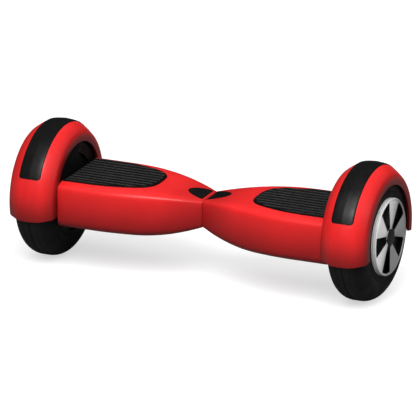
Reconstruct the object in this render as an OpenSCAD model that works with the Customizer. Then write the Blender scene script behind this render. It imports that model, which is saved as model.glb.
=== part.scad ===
// Self balancing board with two hub motor wheels and two halves that twist about a centre pivot.
// X runs along the axle, the rider faces -Y, and Z is up from the floor.

/* [Wheels] */
// Radius of the solid tyre, which is also the height of the axle
tyre_r = 84.5; // [80:0.5:86]
// Width of the tyre
tyre_w = 52.5; // [46:0.5:53]
// Distance from the seam to the middle of the wheel arch
wheel_x = 214.5; // [212:0.5:220]
// Radius of the motor casing that the tyre sits on
casing_r = 49.8; // [49:0.1:51]
// Radius of the fixed axle
axle_r = 8; // [7:0.5:8]
// Number of spokes on the wheel cover
spokes = 5; // [4:1:7]

/* [Arches] */
// Height of the centre of the wheel arch
arch_z = 86; // [85:0.5:88]
// Outer radius of the wheel arch
arch_r = 90; // [89:0.5:94]
// How far each end of the arch drops below its centre, in degrees
arch_drop = 12; // [6:1:16]
// Thickness of the moulded arch
arch_wall = 2.2; // [1.8:0.1:2.4]
// Height above horizontal at which the rubber strip starts, in degrees
strip_rise = 24; // [15:1:40]
// Width of the rubber strip
strip_w = 30; // [24:1:32]

/* [Body] */
// Half the width of the body where it meets the arches
body_half_w = 64; // [62:0.5:66]
// Half the width of the body at the waist
waist_half_w = 24; // [22:0.5:28]
// Height of the deck
deck_top = 116; // [114:0.5:118]
// Height of the top of the waist
waist_top = 105.5; // [104:0.5:108]
// Height of the lower edge of the body
edge_bottom = 58; // [56:0.5:60]
// Height of the lower edge at the waist
waist_bottom = 69; // [67:0.5:70]
// How far the belly bulges below the lower edge
belly_drop = 9; // [6:0.5:12]
// Thickness of the moulded shells
wall = 2.5; // [2:0.1:3]
// Gap between the two halves
seam_gap = 0.6; // [0.4:0.1:1]

/* [Foot pads] */
// Distance from the seam to the nose of the foot pad
pad_nose = 67; // [64:0.5:72]
// Half the width of the foot pad
pad_half_w = 48.5; // [46:0.5:50]
// Height of the tops of the ribs
pad_top = 117.5; // [117:0.5:118]
// How far the pad travels when stood on
pad_travel = 1.5; // [1:0.1:1.5]
// Number of ribs on each pad
pad_ribs = 11; // [9:1:13]

/* [Centre pivot] */
// Height of the pivot tube
pivot_z = 88; // [87:0.5:89]
// Outer radius of the pivot tube
pivot_r = 10; // [9:0.5:10]

/* [Hidden] */
$fn = 64;
axle_z = tyre_r;
tyre_shoulder = 22;
casing_x0 = wheel_x - 18.5;
casing_x1 = wheel_x + 25.5;
cover_x1 = casing_x1 + 7.5;
stator_r = 38;
stator_x0 = wheel_x - 11.5;
stator_x1 = wheel_x + 12.5;
body_end = wheel_x - 32;
arch_half = 31.5;
mouth_r = 64.5;
waist_x = seam_gap / 2;
top_curve = 7;
low_curve = 9;
split = 24;
split_gap = 0.5;
bush_r = pivot_r + 2.5;
boss_r = bush_r + 3;
boss_x0 = 30;
neck_r = pivot_r + 2.5;
fit_gap = 0.15;
tray_x0 = 56;
tray_x1 = body_end - 0.5;
tray_half = 46;
tray_z0 = edge_bottom;
floor_t = 7;
tray_top = 99;
floor_end = 144;
block_x0 = 148;
block_x1 = 176;
clamp_bottom = 61;
flat_half = axle_r - 1.5;
board_t = 1.6;
sink_t = 7;
mainboard_z = tray_z0 + floor_t + sink_t + board_t;
port_x = 100;
port_z = 82;
port_r = 6.5;
button_x = 112;
button_r = 5;
screw_r = 1.6;
head_r = 3;
bottom_screws = [[82, 34], [82, -34], [136, 38], [136, -38]];
arch_screw_y = 54;

// Body outline: each edge eases from its waist value to its full value over a given reach.
function ease(x, reach, power) = x >= reach ? 0 : pow(1 - x / reach, power);
function half_w(x) = body_half_w - (body_half_w - waist_half_w) * ease(x, 135, 1.9);
function deck_z(x) = deck_top - (deck_top - waist_top) * ease(x, 110, 2.1);
function edge_z(x) = edge_bottom + (waist_bottom - edge_bottom) * ease(x, 85, 2);
function belly(x) = belly_drop * (1 - ease(x, 85, 2));
function mid_z(x) = (deck_z(x) + edge_z(x)) / 2;

// Cross sections are superellipses; g is the inset that makes the inner face of a shell.
function bend(v, power) = sign(v) * pow(abs(v), power);
function under_z(x, f, g) =
    mid_z(x) - (mid_z(x) - edge_z(x) - g) * pow(1 - pow(abs(f), low_curve), 1 / low_curve)
    - belly(x) * (1 - f * f);
function under(x, f, g) = [x, (half_w(x) - g) * f, under_z(x, f, g)];
function over(x, a, g) =
    sin(a) < 0
    ? under(x, bend(cos(a), 2 / low_curve), g)
    : [x, (half_w(x) - g) * bend(cos(a), 2 / top_curve),
        mid_z(x) + (deck_z(x) - g - mid_z(x)) * pow(sin(a), 2 / top_curve)];

// Stations along the body, closer together near the waist.
steps = 14;
function station(i) = waist_x + (body_end - waist_x) * pow(i / steps, 1.25);

top_side = [-split, -14, -6, 0, 1, 4, 10, 20, 31, 41, 50, 60, 71, 80, 86];
top_angles = concat(top_side, [90], [for (i = [len(top_side) - 1:-1:0]) 180 - top_side[i]]);
low_side = [1, 0.972, 0.93, 0.86, 0.76, 0.62, 0.43, 0.21];
low_edge = pow(cos(split + split_gap), 2 / low_curve);
low_fractions = concat(
    [for (f = low_side) -f * low_edge], [0],
    [for (i = [len(low_side) - 1:-1:0]) low_side[i] * low_edge]);

function top_rows(g) = [for (i = [0:steps]) [for (a = top_angles) over(station(i), a, g)]];
function low_rows(g) = [for (i = [0:steps]) [for (f = low_fractions) under(station(i), f, g)]];
function joined(rows) = [for (row = rows) for (p = row) p];

// Curved wall between an outer and an inner grid of points.
module skin(outer, inner) {
    n = len(outer[0]);
    m = len(outer);
    k = n * m;
    outside = [for (i = [0:m - 2]) for (j = [0:n - 2]) for (t = [0, 1])
        let (a = i * n + j, b = a + 1, c = a + n + 1, d = a + n)
        t == 0 ? [a, b, c] : [a, c, d]];
    inside = [for (f = outside) [f[2] + k, f[1] + k, f[0] + k]];
    long_rims = [for (i = [0:m - 2]) for (t = [0:3])
        let (a = i * n, d = a + n, e = a + n - 1, h = e + n)
        t == 0 ? [a, d, d + k] : t == 1 ? [a, d + k, a + k]
        : t == 2 ? [h, e, e + k] : [h, e + k, h + k]];
    end_rims = [for (j = [0:n - 2]) for (t = [0:3])
        let (a = j, e = (m - 1) * n + j)
        t == 0 ? [a + 1, a, a + k] : t == 1 ? [a + 1, a + k, a + k + 1]
        : t == 2 ? [e, e + 1, e + 1 + k] : [e, e + 1 + k, e + k]];
    polyhedron(concat(joined(outer), joined(inner)),
        concat(outside, inside, long_rims, end_rims), convexity = 8);
}

// Outline of the whole body section at x, inset by g.
function body_section(x, g) = concat(
    [for (a = top_angles) over(x, a, g)],
    [for (i = [1:len(low_fractions) - 2]) under(x, low_fractions[i], g)]);

module body_plate(x0, x1, g) {
    translate([x0, 0, 0])
        rotate([90, 0, 90])
            linear_extrude(x1 - x0)
                polygon([for (p = body_section(x0, g)) [p[1], p[2]]]);
}

// Turns a shape drawn about the local Z axis so that it lies about the X axis.
module along_x(x, z) {
    translate([x, 0, z])
        rotate([90, 0, 90])
            children();
}

module rod_x(x0, x1, z, r) {
    along_x(x0, z)
        cylinder(r = r, h = x1 - x0);
}

module ring_x(x0, x1, z, outer, inner) {
    along_x(x0, z)
        difference() {
            cylinder(r = outer, h = x1 - x0);
            translate([0, 0, -1])
                cylinder(r = inner, h = x1 - x0 + 2);
        }
}

module block(low, high) {
    translate(low)
        cube(high - low);
}

module left() {
    mirror([1, 0, 0])
        children();
}

// Pad outline, grown by g: a rounded nose and straight sides.
function pad_y(u, g) = (pad_half_w + g) * pow(1 - pow(1 - u, 2), 0.3);
pad_len = 85;
pad_end = body_end - 1.6;
nose_steps = [0, 0.002, 0.01, 0.03, 0.07, 0.14, 0.25, 0.4, 0.6, 0.8, 1];

function pad_half(g) = [for (u = nose_steps) [pad_nose - g + pad_len * u, pad_y(u, g)]];
function pad_outline(g) = concat(
    pad_half(g), [[pad_end + g, pad_half_w + g], [pad_end + g, -pad_half_w - g]],
    [for (i = [len(nose_steps) - 1:-1:1]) [pad_half(g)[i][0], -pad_half(g)[i][1]]]);

// Half of an ellipse beside the seam, inset by g.
window_len = 29;
window_half_w = 18.5;
window_x0 = 2.5;
function window_outline(g) = [for (a = [-84:12:84])
    [max(window_x0 + g, (window_len - g) * cos(a)), (window_half_w - g) * sin(a)]];

module top_shell() {
    difference() {
        skin(top_rows(0), top_rows(wall));
        translate([0, 0, tray_top])
            linear_extrude(40)
                polygon(pad_outline(0.8));
        translate([0, 0, tray_top])
            linear_extrude(40)
                polygon(window_outline(0));
    }
}

// Hole through the back face of a shell.
module back_hole(x, r) {
    translate([x, tray_half + 1, port_z])
        rotate([-90, 0, 0])
            cylinder(r = r, h = 30);
}

module left_top_shell() {
    color("red")
        difference() {
            top_shell();
            back_hole(port_x, port_r + 3.8);
        }
}

module right_top_shell() {
    color("red")
        difference() {
            top_shell();
            back_hole(button_x, button_r + 0.4);
        }
}

module bottom_shell() {
    color("red")
        difference() {
            skin(low_rows(0), low_rows(wall));
            for (p = bottom_screws)
                translate([p[0], p[1], edge_bottom - 12])
                    cylinder(r = screw_r + 0.3, h = 20);
            for (p = bottom_screws)
                translate([p[0], p[1], edge_bottom - 12])
                    cylinder(r = head_r + 0.4, h = 8);
        }
}

// Wheel arch: points of the moulding's section, as distance from the middle and radius.
arch_skin = [[arch_half, mouth_r], [arch_half, 72.5], [30.6, 76], [27.9, 79.3], [16, 87.6], [10, 89.2]];
arch_lip = 28;
arch_lining = concat(
    [[arch_lip, mouth_r], [arch_lip, mouth_r + arch_wall], [arch_half - arch_wall, mouth_r + arch_wall]],
    [for (i = [1:len(arch_skin) - 1]) let (p = arch_skin[i])
        [p[0] - arch_wall * (p[1] < 80 ? 1 : 0.45), p[1] - arch_wall * (p[1] < 73 ? 0 : p[1] < 80 ? 0.6 : 1)]]);
strip_floor = [[strip_w / 2, arch_r - 3.1], [10, arch_r - 1.8]];
strip_depth = 1;
strip_t = 1.6;

// Full section through the crown, from the outer side of the arch to its inner side.
function section(points, crown) = concat(
    [for (p = points) [p[1], p[0]]],
    [[crown, 0]],
    [for (i = [len(points) - 1:-1:0]) [points[i][1], -points[i][0]]]);
function reversed(list) = [for (i = [len(list) - 1:-1:0]) list[i]];

module arch_sweep(from_angle) {
    along_x(wheel_x, arch_z)
        rotate_extrude(angle = 180 - 2 * from_angle, start = from_angle)
            children();
}

module wheel_arch() {
    lug_x = wheel_x - arch_half;
    color("red")
        difference() {
            union() {
                arch_sweep(-arch_drop)
                    polygon(concat(section(arch_skin, arch_r),
                        reversed(section(arch_lining, arch_r - arch_wall))));
                for (y = [-arch_screw_y, arch_screw_y])
                    block([lug_x, min(0.86 * y, 1.24 * y), arch_z - 8],
                        [lug_x + arch_wall, max(0.86 * y, 1.24 * y), arch_z + 8]);
            }
            arch_sweep(strip_rise)
                polygon(concat(section(strip_floor, arch_r - strip_depth),
                    [[arch_r + 5, -strip_w / 2], [arch_r + 5, strip_w / 2]]));
            for (y = [-arch_screw_y, arch_screw_y])
                translate([0, y, 0])
                    rod_x(lug_x - 1, lug_x + 4, arch_z, screw_r + 0.3);
        }
}

module bumper_strip() {
    low = [for (p = strip_floor) [p[0] - 0.1, p[1] + 0.05]];
    high = [for (p = low) [p[0], p[1] + strip_t]];
    crown = arch_r - strip_depth + 0.05;
    color([0.09, 0.09, 0.09])
        arch_sweep(strip_rise + 0.1)
            polygon(concat(section(low, crown), reversed(section(high, crown + strip_t))));
}

// Rubber mat: a base with ribs that run along the board, clipped to the outline.
module foot_pad() {
    base_top = pad_top - 1.2;
    pitch = 2 * (pad_half_w - 3) / (pad_ribs - 1);
    color([0.1, 0.1, 0.1]) {
        translate([0, 0, base_top - 3.8])
            linear_extrude(3.8)
                polygon(pad_outline(0));
        translate([0, 0, base_top])
            linear_extrude(pad_top - base_top)
                intersection() {
                    polygon(pad_outline(-1.5));
                    for (i = [0:pad_ribs - 1])
                        translate([pad_nose, 3 - pad_half_w + i * pitch - 2.2])
                            square([pad_len + 40, 4.4]);
                }
    }
}

plate_z0 = pad_top - 7.5;
plunger_x = 124;
plunger_y = 30;

module pedal_plate() {
    color([0.25, 0.25, 0.27]) {
        translate([0, 0, plate_z0])
            linear_extrude(2.5)
                polygon(pad_outline(-1));
        for (rest = [[97, 105, 37], [150, 170, 43]])
            for (y = [-rest[2], rest[2]])
                block([rest[0], y - 1.5, tray_top + pad_travel + 0.2], [rest[1], y + 1.5, plate_z0]);
        for (y = [-plunger_y, plunger_y])
            translate([plunger_x, y, tray_top + board_t + 4.2 + pad_travel])
                cylinder(r = 3, h = plate_z0 - tray_top - board_t - 4.2 - pad_travel);
    }
}

window_t = 2.2;
window_slope = atan2(deck_z(window_len) - deck_z(window_x0), window_len - window_x0);

module window() {
    color([0.06, 0.06, 0.07])
        translate([window_x0, 0, deck_z(window_x0) - 0.2])
            rotate([0, -window_slope, 0])
                translate([-window_x0, 0, -window_t])
                    linear_extrude(window_t)
                        polygon(window_outline(0.25));
}

module status_board() {
    board_z = pivot_z + neck_r + 0.2;
    color("green")
        block([7, -10, board_z], [26, 10, board_z + board_t]);
    color("white")
        for (x = [10, 16, 22])
            for (y = [-6, 0, 6])
                block([x - 1, y - 1, board_z + board_t], [x + 1, y + 1, board_z + board_t + 0.8]);
}

// Cast tray with its pivot boss, floor, side rails and the upper half of the axle seat.
function tray_plan(g) = [
    [tray_x0 + g, -36 + g], [tray_x0 + 24, -tray_half + g], [tray_x1 + (g > 0 ? 1 : 0), -tray_half + g],
    [tray_x1 + (g > 0 ? 1 : 0), tray_half - g], [tray_x0 + 24, tray_half - g], [tray_x0 + g, 36 - g]];

module chassis_casting() {
    rail_t = 3;
    flange_t = 3;
    difference() {
        union() {
            difference() {
                translate([0, 0, tray_z0 + 1])
                    linear_extrude(tray_top - tray_z0 - 1)
                        polygon(tray_plan(0));
                translate([0, 0, tray_z0 + floor_t])
                    linear_extrude(60)
                        polygon(tray_plan(rail_t));
                block([floor_end, rail_t - tray_half, tray_z0 - 1],
                    [tray_x1 - 1, tray_half - rail_t, tray_z0 + floor_t + 1]);
            }
            rod_x(boss_x0, tray_x0 + rail_t, pivot_z, boss_r);
            rod_x(waist_x + 1, boss_x0, pivot_z, neck_r);
            body_plate(waist_x + 0.3, waist_x + 0.3 + flange_t, wall + fit_gap);
            body_plate(tray_x1 - flange_t, tray_x1, wall + fit_gap);
            block([block_x0, -tray_half + 1, axle_z + 0.2], [block_x1, tray_half - 1, tray_top]);
            for (y = [-1, 1]) {
                block([tray_x1 - 10, y * 52 - 7, arch_z - 6], [tray_x1 - 1, y * 52 + 7, arch_z + 6]);
                block([96, y * 39 - 5, tray_top - 5], [106, y * 39 + 5, tray_top]);
            }
            for (p = bottom_screws)
                translate([p[0], p[1], tray_z0])
                    cylinder(r = 4.5, h = 3);
        }
        block([block_x0 - 1, -axle_r - 0.1, axle_z], [block_x1 + 0.5, axle_r + 0.1, axle_z + flat_half]);
        rod_x(block_x1 + 0.5, tray_x1 + 1, axle_z, axle_r + 1.5);
        block([tray_x1 - flange_t - 1, -axle_r - 1.5, 40], [tray_x1 + 1, axle_r + 1.5, axle_z]);
        for (x = [block_x0 + 6, block_x1 - 6])
            for (y = [-17, 17])
                translate([x, y, axle_z - 1])
                    cylinder(r = 2.5, h = 11.5);
        block([tray_x1 - flange_t - 0.5, -pad_half_w - 1.5, plate_z0 - pad_travel - 0.5],
            [tray_x1 + 1, pad_half_w + 1.5, deck_top]);
        for (p = bottom_screws)
            translate([p[0], p[1], tray_z0 - 2])
                cylinder(r = screw_r, h = 7);
        for (y = [-arch_screw_y, arch_screw_y])
            translate([0, y, 0])
                rod_x(tray_x1 - 8, tray_x1 + 1, arch_z, screw_r);
    }
}

// The left casting grips the pivot tube.
module left_chassis() {
    color("silver")
        difference() {
            chassis_casting();
            rod_x(-1, tray_x0 + 4, pivot_z, pivot_r);
        }
}

// The right casting carries the two bushes that turn on the tube.
module right_chassis() {
    color("silver")
        difference() {
            chassis_casting();
            rod_x(-1, boss_x0 + 1, pivot_z, pivot_r + 1);
            rod_x(boss_x0 + 1, tray_x0 + 4, pivot_z, bush_r);
        }
}

module axle_clamp() {
    color("gray")
        difference() {
            block([block_x0, -26, clamp_bottom], [block_x1, 26, axle_z]);
            block([block_x0 - 1, -axle_r - 0.1, axle_z - flat_half], [block_x1 + 1, axle_r + 0.1, axle_z + 1]);
            for (x = [block_x0 + 6, block_x1 - 6])
                for (y = [-17, 17])
                    translate([x, y, clamp_bottom - 1])
                        cylinder(r = 2.7, h = 30);
        }
}

module clamp_screws() {
    color("dimgray")
        for (x = [block_x0 + 6, block_x1 - 6])
            for (y = [-17, 17])
                translate([x, y, clamp_bottom - 3.5]) {
                    difference() {
                        cylinder(r = 4.2, h = 3.5);
                        translate([0, 0, -0.1])
                            cylinder(r = 2.1, h = 2.1, $fn = 6);
                    }
                    translate([0, 0, 3.5])
                        cylinder(r = 2.5, h = 28);
                }
}

// One self-tapping screw with its head at the origin and its tip up.
module shell_screw() {
    difference() {
        union() {
            cylinder(r = head_r, h = 1.8);
            translate([0, 0, 1.8])
                cylinder(r = screw_r, h = 8);
        }
        for (a = [0, 90])
            rotate(a)
                translate([-1.6, -0.35, -0.1])
                    cube([3.2, 0.7, 1.1]);
    }
}

module shell_screws() {
    color("dimgray") {
        for (p = bottom_screws)
            translate([p[0], p[1], edge_bottom - 5.8])
                shell_screw();
        for (y = [-arch_screw_y, arch_screw_y])
            translate([wheel_x - arch_half + arch_wall + 1.8, y, arch_z])
                rotate([0, -90, 0])
                    shell_screw();
    }
}

module gyro_board() {
    color("darkgreen")
        block([110, -tray_half, tray_top], [142, tray_half, tray_top + board_t]);
    color("black") {
        for (y = [-plunger_y, plunger_y])
            block([plunger_x - 5, y - 4, tray_top + board_t], [plunger_x + 5, y + 4, tray_top + board_t + 4]);
        block([113, -7, tray_top + board_t], [127, 7, tray_top + board_t + 1.4]);
        block([132, -9, tray_top + board_t], [138, 9, tray_top + board_t + 5]);
    }
}

module axle() {
    color("silver")
        difference() {
            rod_x(block_x0 - 4, casing_x1 - 5, axle_z, axle_r);
            for (z = [-1, 1])
                block([block_x0 - 5, -axle_r - 1, axle_z + z * (flat_half + 5) - 5],
                    [block_x1 + 3, axle_r + 1, axle_z + z * (flat_half + 5) + 5]);
        }
}

slots = 18;

module stator() {
    color("slategray")
        along_x(stator_x0, axle_z)
            linear_extrude(stator_x1 - stator_x0)
                difference() {
                    circle(stator_r);
                    circle(axle_r);
                    for (i = [0:slots - 1])
                        rotate(i * 360 / slots)
                            translate([24, -2.2])
                                square([11, 4.4]);
                    for (i = [0:slots - 1])
                        rotate(i * 360 / slots)
                            translate([34, -1])
                                square([6, 2]);
                }
}

module windings() {
    turn = 5;
    color("orange") {
        ring_x(stator_x0 - turn, stator_x0, axle_z, 35, 24);
        ring_x(stator_x1, stator_x1 + turn, axle_z, 35, 24);
    }
}

magnet_count = 20;
gap_r = stator_r + 0.6;
magnet_r = stator_r + 4;

module magnets() {
    color("lightsteelblue")
        along_x(stator_x0, axle_z)
            for (i = [0:magnet_count - 1])
                rotate_extrude(angle = 360 / magnet_count - 2, start = i * 360 / magnet_count)
                    translate([gap_r, 0])
                        square([magnet_r - gap_r, stator_x1 - stator_x0]);
}

bearing_r = 13;
bearing_w = 8;

module motor_casing() {
    color([0.12, 0.12, 0.12])
        along_x(0, axle_z)
            rotate_extrude()
                polygon([[0, casing_x1], [casing_r, casing_x1], [casing_r, casing_x0], [magnet_r, casing_x0],
                    [magnet_r, casing_x1 - 3.5], [17, casing_x1 - 3.5], [17, casing_x1 - 12.5],
                    [bearing_r, casing_x1 - 12.5], [bearing_r, casing_x1 - 4.5], [0, casing_x1 - 4.5]]);
}

module motor_cover() {
    color([0.2, 0.2, 0.2])
        along_x(0, axle_z)
            rotate_extrude()
                polygon([[axle_r + 0.6, casing_x0 - 3.5], [casing_r, casing_x0 - 3.5], [casing_r, casing_x0],
                    [17, casing_x0], [17, casing_x0 + 5.5], [bearing_r, casing_x0 + 5.5],
                    [bearing_r, casing_x0 - 2.5], [axle_r + 0.6, casing_x0 - 2.5]]);
}

module wheel_bearings() {
    color("silver")
        for (x = [casing_x0 - 2.5, casing_x1 - 4.5 - bearing_w])
            ring_x(x, x + bearing_w, axle_z, bearing_r, axle_r + 0.05);
}

// Solid tyre: flat tread, round shoulders and three shallow grooves.
tyre_half = tyre_w / 2;
groove = 1;

module tyre() {
    color([0.07, 0.07, 0.07])
        along_x(wheel_x + 0.75, axle_z)
            rotate_extrude($fn = 96)
                difference() {
                    union() {
                        translate([casing_r, -tyre_half])
                            square([tyre_r - tyre_shoulder - casing_r, tyre_w]);
                        translate([casing_r, tyre_shoulder - tyre_half])
                            square([tyre_r - casing_r, tyre_w - 2 * tyre_shoulder]);
                        for (z = [-1, 1])
                            intersection() {
                                translate([tyre_r - tyre_shoulder, z * (tyre_half - tyre_shoulder)])
                                    circle(tyre_shoulder);
                                translate([casing_r, z > 0 ? 0 : -tyre_half])
                                    square([tyre_r, tyre_half]);
                            }
                    }
                    for (z = [-9, 0, 9])
                        translate([tyre_r - groove, z - 0.8])
                            square([5, 1.6]);
                }
}

// Wheel cover: a rim ring with spokes that widen towards it.
cover_r = 49.4;
cover_hub = 11.5;
plug_r = 8;

module wheel_cover() {
    color([0.8, 0.8, 0.82])
        difference() {
            rod_x(casing_x1, cover_x1, axle_z, cover_r);
            rod_x(casing_x1 - 1, cover_x1 - 2.5, axle_z, cover_r - 2.2);
            rod_x(cover_x1 - 0.6, cover_x1 + 1, axle_z, cover_r - 2.4);
            rod_x(cover_x1 - 4, cover_x1, axle_z, plug_r + 0.1);
            along_x(cover_x1 - 4, axle_z)
                linear_extrude(6)
                    for (i = [0:spokes - 1])
                        rotate(38 + i * 360 / spokes)
                            polygon([cover_hub * [cos(22), -sin(22)], 46 * [cos(16.5), -sin(16.5)],
                                46.6 * [cos(8), -sin(8)], 46.6 * [cos(8), sin(8)],
                                46 * [cos(16.5), sin(16.5)], cover_hub * [cos(22), sin(22)]]);
        }
}

module hub_cap() {
    color([0.12, 0.12, 0.12]) {
        along_x(cover_x1 - 0.6, axle_z)
            rotate(38)
                cylinder(r = cover_hub + 1, h = 2, $fn = 5);
        rod_x(casing_x1, cover_x1 - 0.6, axle_z, plug_r);
    }
}

// Round cable along straight runs with ball corners.
module wire(points, r) {
    for (i = [0:len(points) - 2]) {
        run = points[i + 1] - points[i];
        reach = norm(run);
        translate(points[i])
            rotate([0, acos(run[2] / reach), atan2(run[1], run[0])])
                cylinder(r = r, h = reach);
    }
    for (i = [1:len(points) - 2])
        translate(points[i])
            sphere(r);
}

cable_r = 2.4;

module left_motor_cable() {
    color("black")
        wire([[block_x0 - 4, 0, axle_z], [140, 0, axle_z], [140, 0, 96.4], [63, 0, 96.4], [63, 0, pivot_z]],
            cable_r);
}

module right_motor_cable() {
    color("black")
        wire([[block_x0 - 4, 0, axle_z], [137, 0, axle_z], [137, 0, mainboard_z + 3.4],
            [128, 0, mainboard_z + 3.4]], cable_r);
}

module pivot_tube() {
    color("silver")
        ring_x(-tray_x0 - 3, tray_x0 + 6, pivot_z, pivot_r, pivot_r - 2.5);
}

module pivot_bushes() {
    color("goldenrod")
        for (x = [boss_x0 + 1, tray_x0 - 7])
            ring_x(x, x + 10, pivot_z, bush_r, pivot_r + 0.05);
}

module retaining_ring() {
    color("dimgray")
        ring_x(tray_x0 + 3.5, tray_x0 + 5, pivot_z, pivot_r + 3, pivot_r);
}

module link_cable() {
    color("black")
        rod_x(-tray_x0 - 4, tray_x0 + 5, pivot_z, 4);
}

battery_h = 28;

module battery_pack() {
    color("royalblue")
        block([74, -40, tray_z0 + floor_t], [137, 40, tray_z0 + floor_t + battery_h]);
    color("black")
        block([65.6, -6, pivot_z - 9], [74, 6, pivot_z]);
}

module mainboard() {
    color("silver")
        block([74, -40, tray_z0 + floor_t], [137, 40, mainboard_z - board_t]);
    color("green")
        block([74, -40, mainboard_z - board_t], [137, 40, mainboard_z]);
    color("black") {
        for (x = [82, 98, 114])
            for (y = [-28, 28])
                translate([x, y, mainboard_z])
                    cylinder(r = 6, h = 16);
        block([64, -7, mainboard_z], [78, 7, pivot_z + 4]);
        block([122, -9, mainboard_z], [128, 9, mainboard_z + 8]);
    }
}

port_face = half_w(port_x) - 0.2;

module charging_socket() {
    color([0.1, 0.1, 0.1])
        translate([port_x, 0, port_z])
            rotate([-90, 0, 0])
                difference() {
                    union() {
                        translate([0, 0, tray_half + 0.4])
                            cylinder(r = port_r + 2, h = port_face - tray_half - 0.4);
                        translate([0, 0, port_face - 1])
                            cylinder(r = port_r + 3.5, h = 1.6);
                    }
                    translate([0, 0, port_face + 0.6 - 11])
                        cylinder(r = port_r, h = 12);
                }
}

button_face = half_w(button_x);

module power_button() {
    color([0.1, 0.1, 0.1])
        translate([button_x, 0, port_z])
            rotate([-90, 0, 0]) {
                translate([0, 0, button_face - 6.6])
                    cylinder(r = button_r, h = 7.8);
                translate([0, 0, button_face - 6.6])
                    cylinder(r = button_r + 1.2, h = 2.2);
            }
}

module button_switch() {
    color("black")
        block([button_x - 6, tray_half + 0.4, port_z - 6], [button_x + 6, button_face - 8.4, port_z + 6]);
}

left() left_top_shell();
right_top_shell();
left() bottom_shell();  // left_bottom_shell
bottom_shell();  // right_bottom_shell
left() wheel_arch();  // left_wheel_arch
wheel_arch();  // right_wheel_arch
left() bumper_strip();  // left_bumper_strip
bumper_strip();  // right_bumper_strip
left() foot_pad();  // left_foot_pad
foot_pad();  // right_foot_pad
left() pedal_plate();  // left_pedal_plate
pedal_plate();  // right_pedal_plate
left() window();  // left_window
window();  // right_window
left() status_board();  // left_status_board
status_board();  // right_status_board
left() left_chassis();
right_chassis();
left() axle_clamp();  // left_axle_clamp
axle_clamp();  // right_axle_clamp
left() clamp_screws();  // left_clamp_screws
clamp_screws();  // right_clamp_screws
left() shell_screws();  // left_shell_screws
shell_screws();  // right_shell_screws
left() gyro_board();  // left_gyro_board
gyro_board();  // right_gyro_board
left() axle();  // left_axle
axle();  // right_axle
left() stator();  // left_stator
stator();  // right_stator
left() windings();  // left_windings
windings();  // right_windings
left() motor_casing();  // left_motor_casing
motor_casing();  // right_motor_casing
left() magnets();  // left_magnets
magnets();  // right_magnets
left() motor_cover();  // left_motor_cover
motor_cover();  // right_motor_cover
left() wheel_bearings();  // left_wheel_bearings
wheel_bearings();  // right_wheel_bearings
left() tyre();  // left_tyre
tyre();  // right_tyre
left() wheel_cover();  // left_wheel_cover
wheel_cover();  // right_wheel_cover
left() hub_cap();  // left_hub_cap
hub_cap();  // right_hub_cap
left() left_motor_cable();
right_motor_cable();
pivot_tube();
pivot_bushes();
retaining_ring();
link_cable();
left() battery_pack();
mainboard();
left() charging_socket();
power_button();
button_switch();
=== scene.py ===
"""Looks of the self balancing board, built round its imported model.

Every moulded shell, arch, strip, pad, window, tyre and wheel cover is made again as a smooth
surface at the model's own place and size. Every other node keeps its shape and gets a finish.
Lengths are metres, +X runs along the axle, the board faces -Y and +Z is up from the floor.
"""

import logging
import math
from dataclasses import dataclass, field
from enum import Enum
from functools import cache
from typing import Any, Sequence

import bmesh
import bpy
import numpy as np
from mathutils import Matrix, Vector


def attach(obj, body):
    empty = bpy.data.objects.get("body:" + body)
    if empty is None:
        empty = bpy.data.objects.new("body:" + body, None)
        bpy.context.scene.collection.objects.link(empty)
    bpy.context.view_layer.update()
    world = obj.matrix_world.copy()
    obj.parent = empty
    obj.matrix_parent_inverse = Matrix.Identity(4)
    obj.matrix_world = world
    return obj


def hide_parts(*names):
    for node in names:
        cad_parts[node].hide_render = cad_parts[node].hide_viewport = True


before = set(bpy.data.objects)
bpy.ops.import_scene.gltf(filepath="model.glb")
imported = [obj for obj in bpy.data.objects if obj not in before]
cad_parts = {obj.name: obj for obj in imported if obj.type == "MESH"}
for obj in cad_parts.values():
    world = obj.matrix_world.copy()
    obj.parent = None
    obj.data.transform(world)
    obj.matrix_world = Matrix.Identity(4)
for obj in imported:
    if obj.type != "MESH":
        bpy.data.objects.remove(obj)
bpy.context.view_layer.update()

LOG = logging.getLogger("board")
MM = 0.001
Colour = tuple[float, float, float, float]
Point = tuple[float, float, float]
Solid = tuple[np.ndarray, list]
Piece = bpy.types.Object
Socket = bpy.types.NodeSocket


class Side(Enum):
    """Half of the board that a piece belongs to, as the sign of its X."""

    LEFT = -1
    RIGHT = 1

    def name_of(self, part: str) -> str:
        """Node or body name of this side's part."""
        return f"{self.name.lower()}_{part}"


class Axis(Enum):
    """Line that a round cutter runs along."""

    Y = 1
    Z = 2


# ---------------------------------------------------------------- surfaces


def grid_quads(rows: int, columns: int, ring_rows: bool = False, ring_columns: bool = False) -> np.ndarray:
    """Quads of a grid of points numbered row by row.

    Quad (i, j) joins the points (i, j), (i, j + 1), (i + 1, j + 1) and (i + 1, j).

    Args:
        rows: number of rows of points.
        columns: number of points in a row.
        ring_rows: the last row joins the first one.
        ring_columns: each row closes on itself.

    Returns:
        An array of four point numbers per quad.
    """
    i, j = np.meshgrid(
        np.arange(rows if ring_rows else rows - 1),
        np.arange(columns if ring_columns else columns - 1),
        indexing="ij",
    )
    down, across = (i + 1) % rows, (j + 1) % columns
    quads = [i * columns + j, i * columns + across, down * columns + across, down * columns + j]
    return np.stack(quads, axis=-1).reshape(-1, 4)


def rim_loop(rows: int, columns: int) -> np.ndarray:
    """Point numbers round the edge of a grid, in order."""
    top = np.arange(columns)
    right = np.arange(1, rows) * columns + columns - 1
    bottom = (rows - 1) * columns + np.arange(columns - 2, -1, -1)
    left = np.arange(rows - 2, 0, -1) * columns
    return np.concatenate([top, right, bottom, left])


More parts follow.
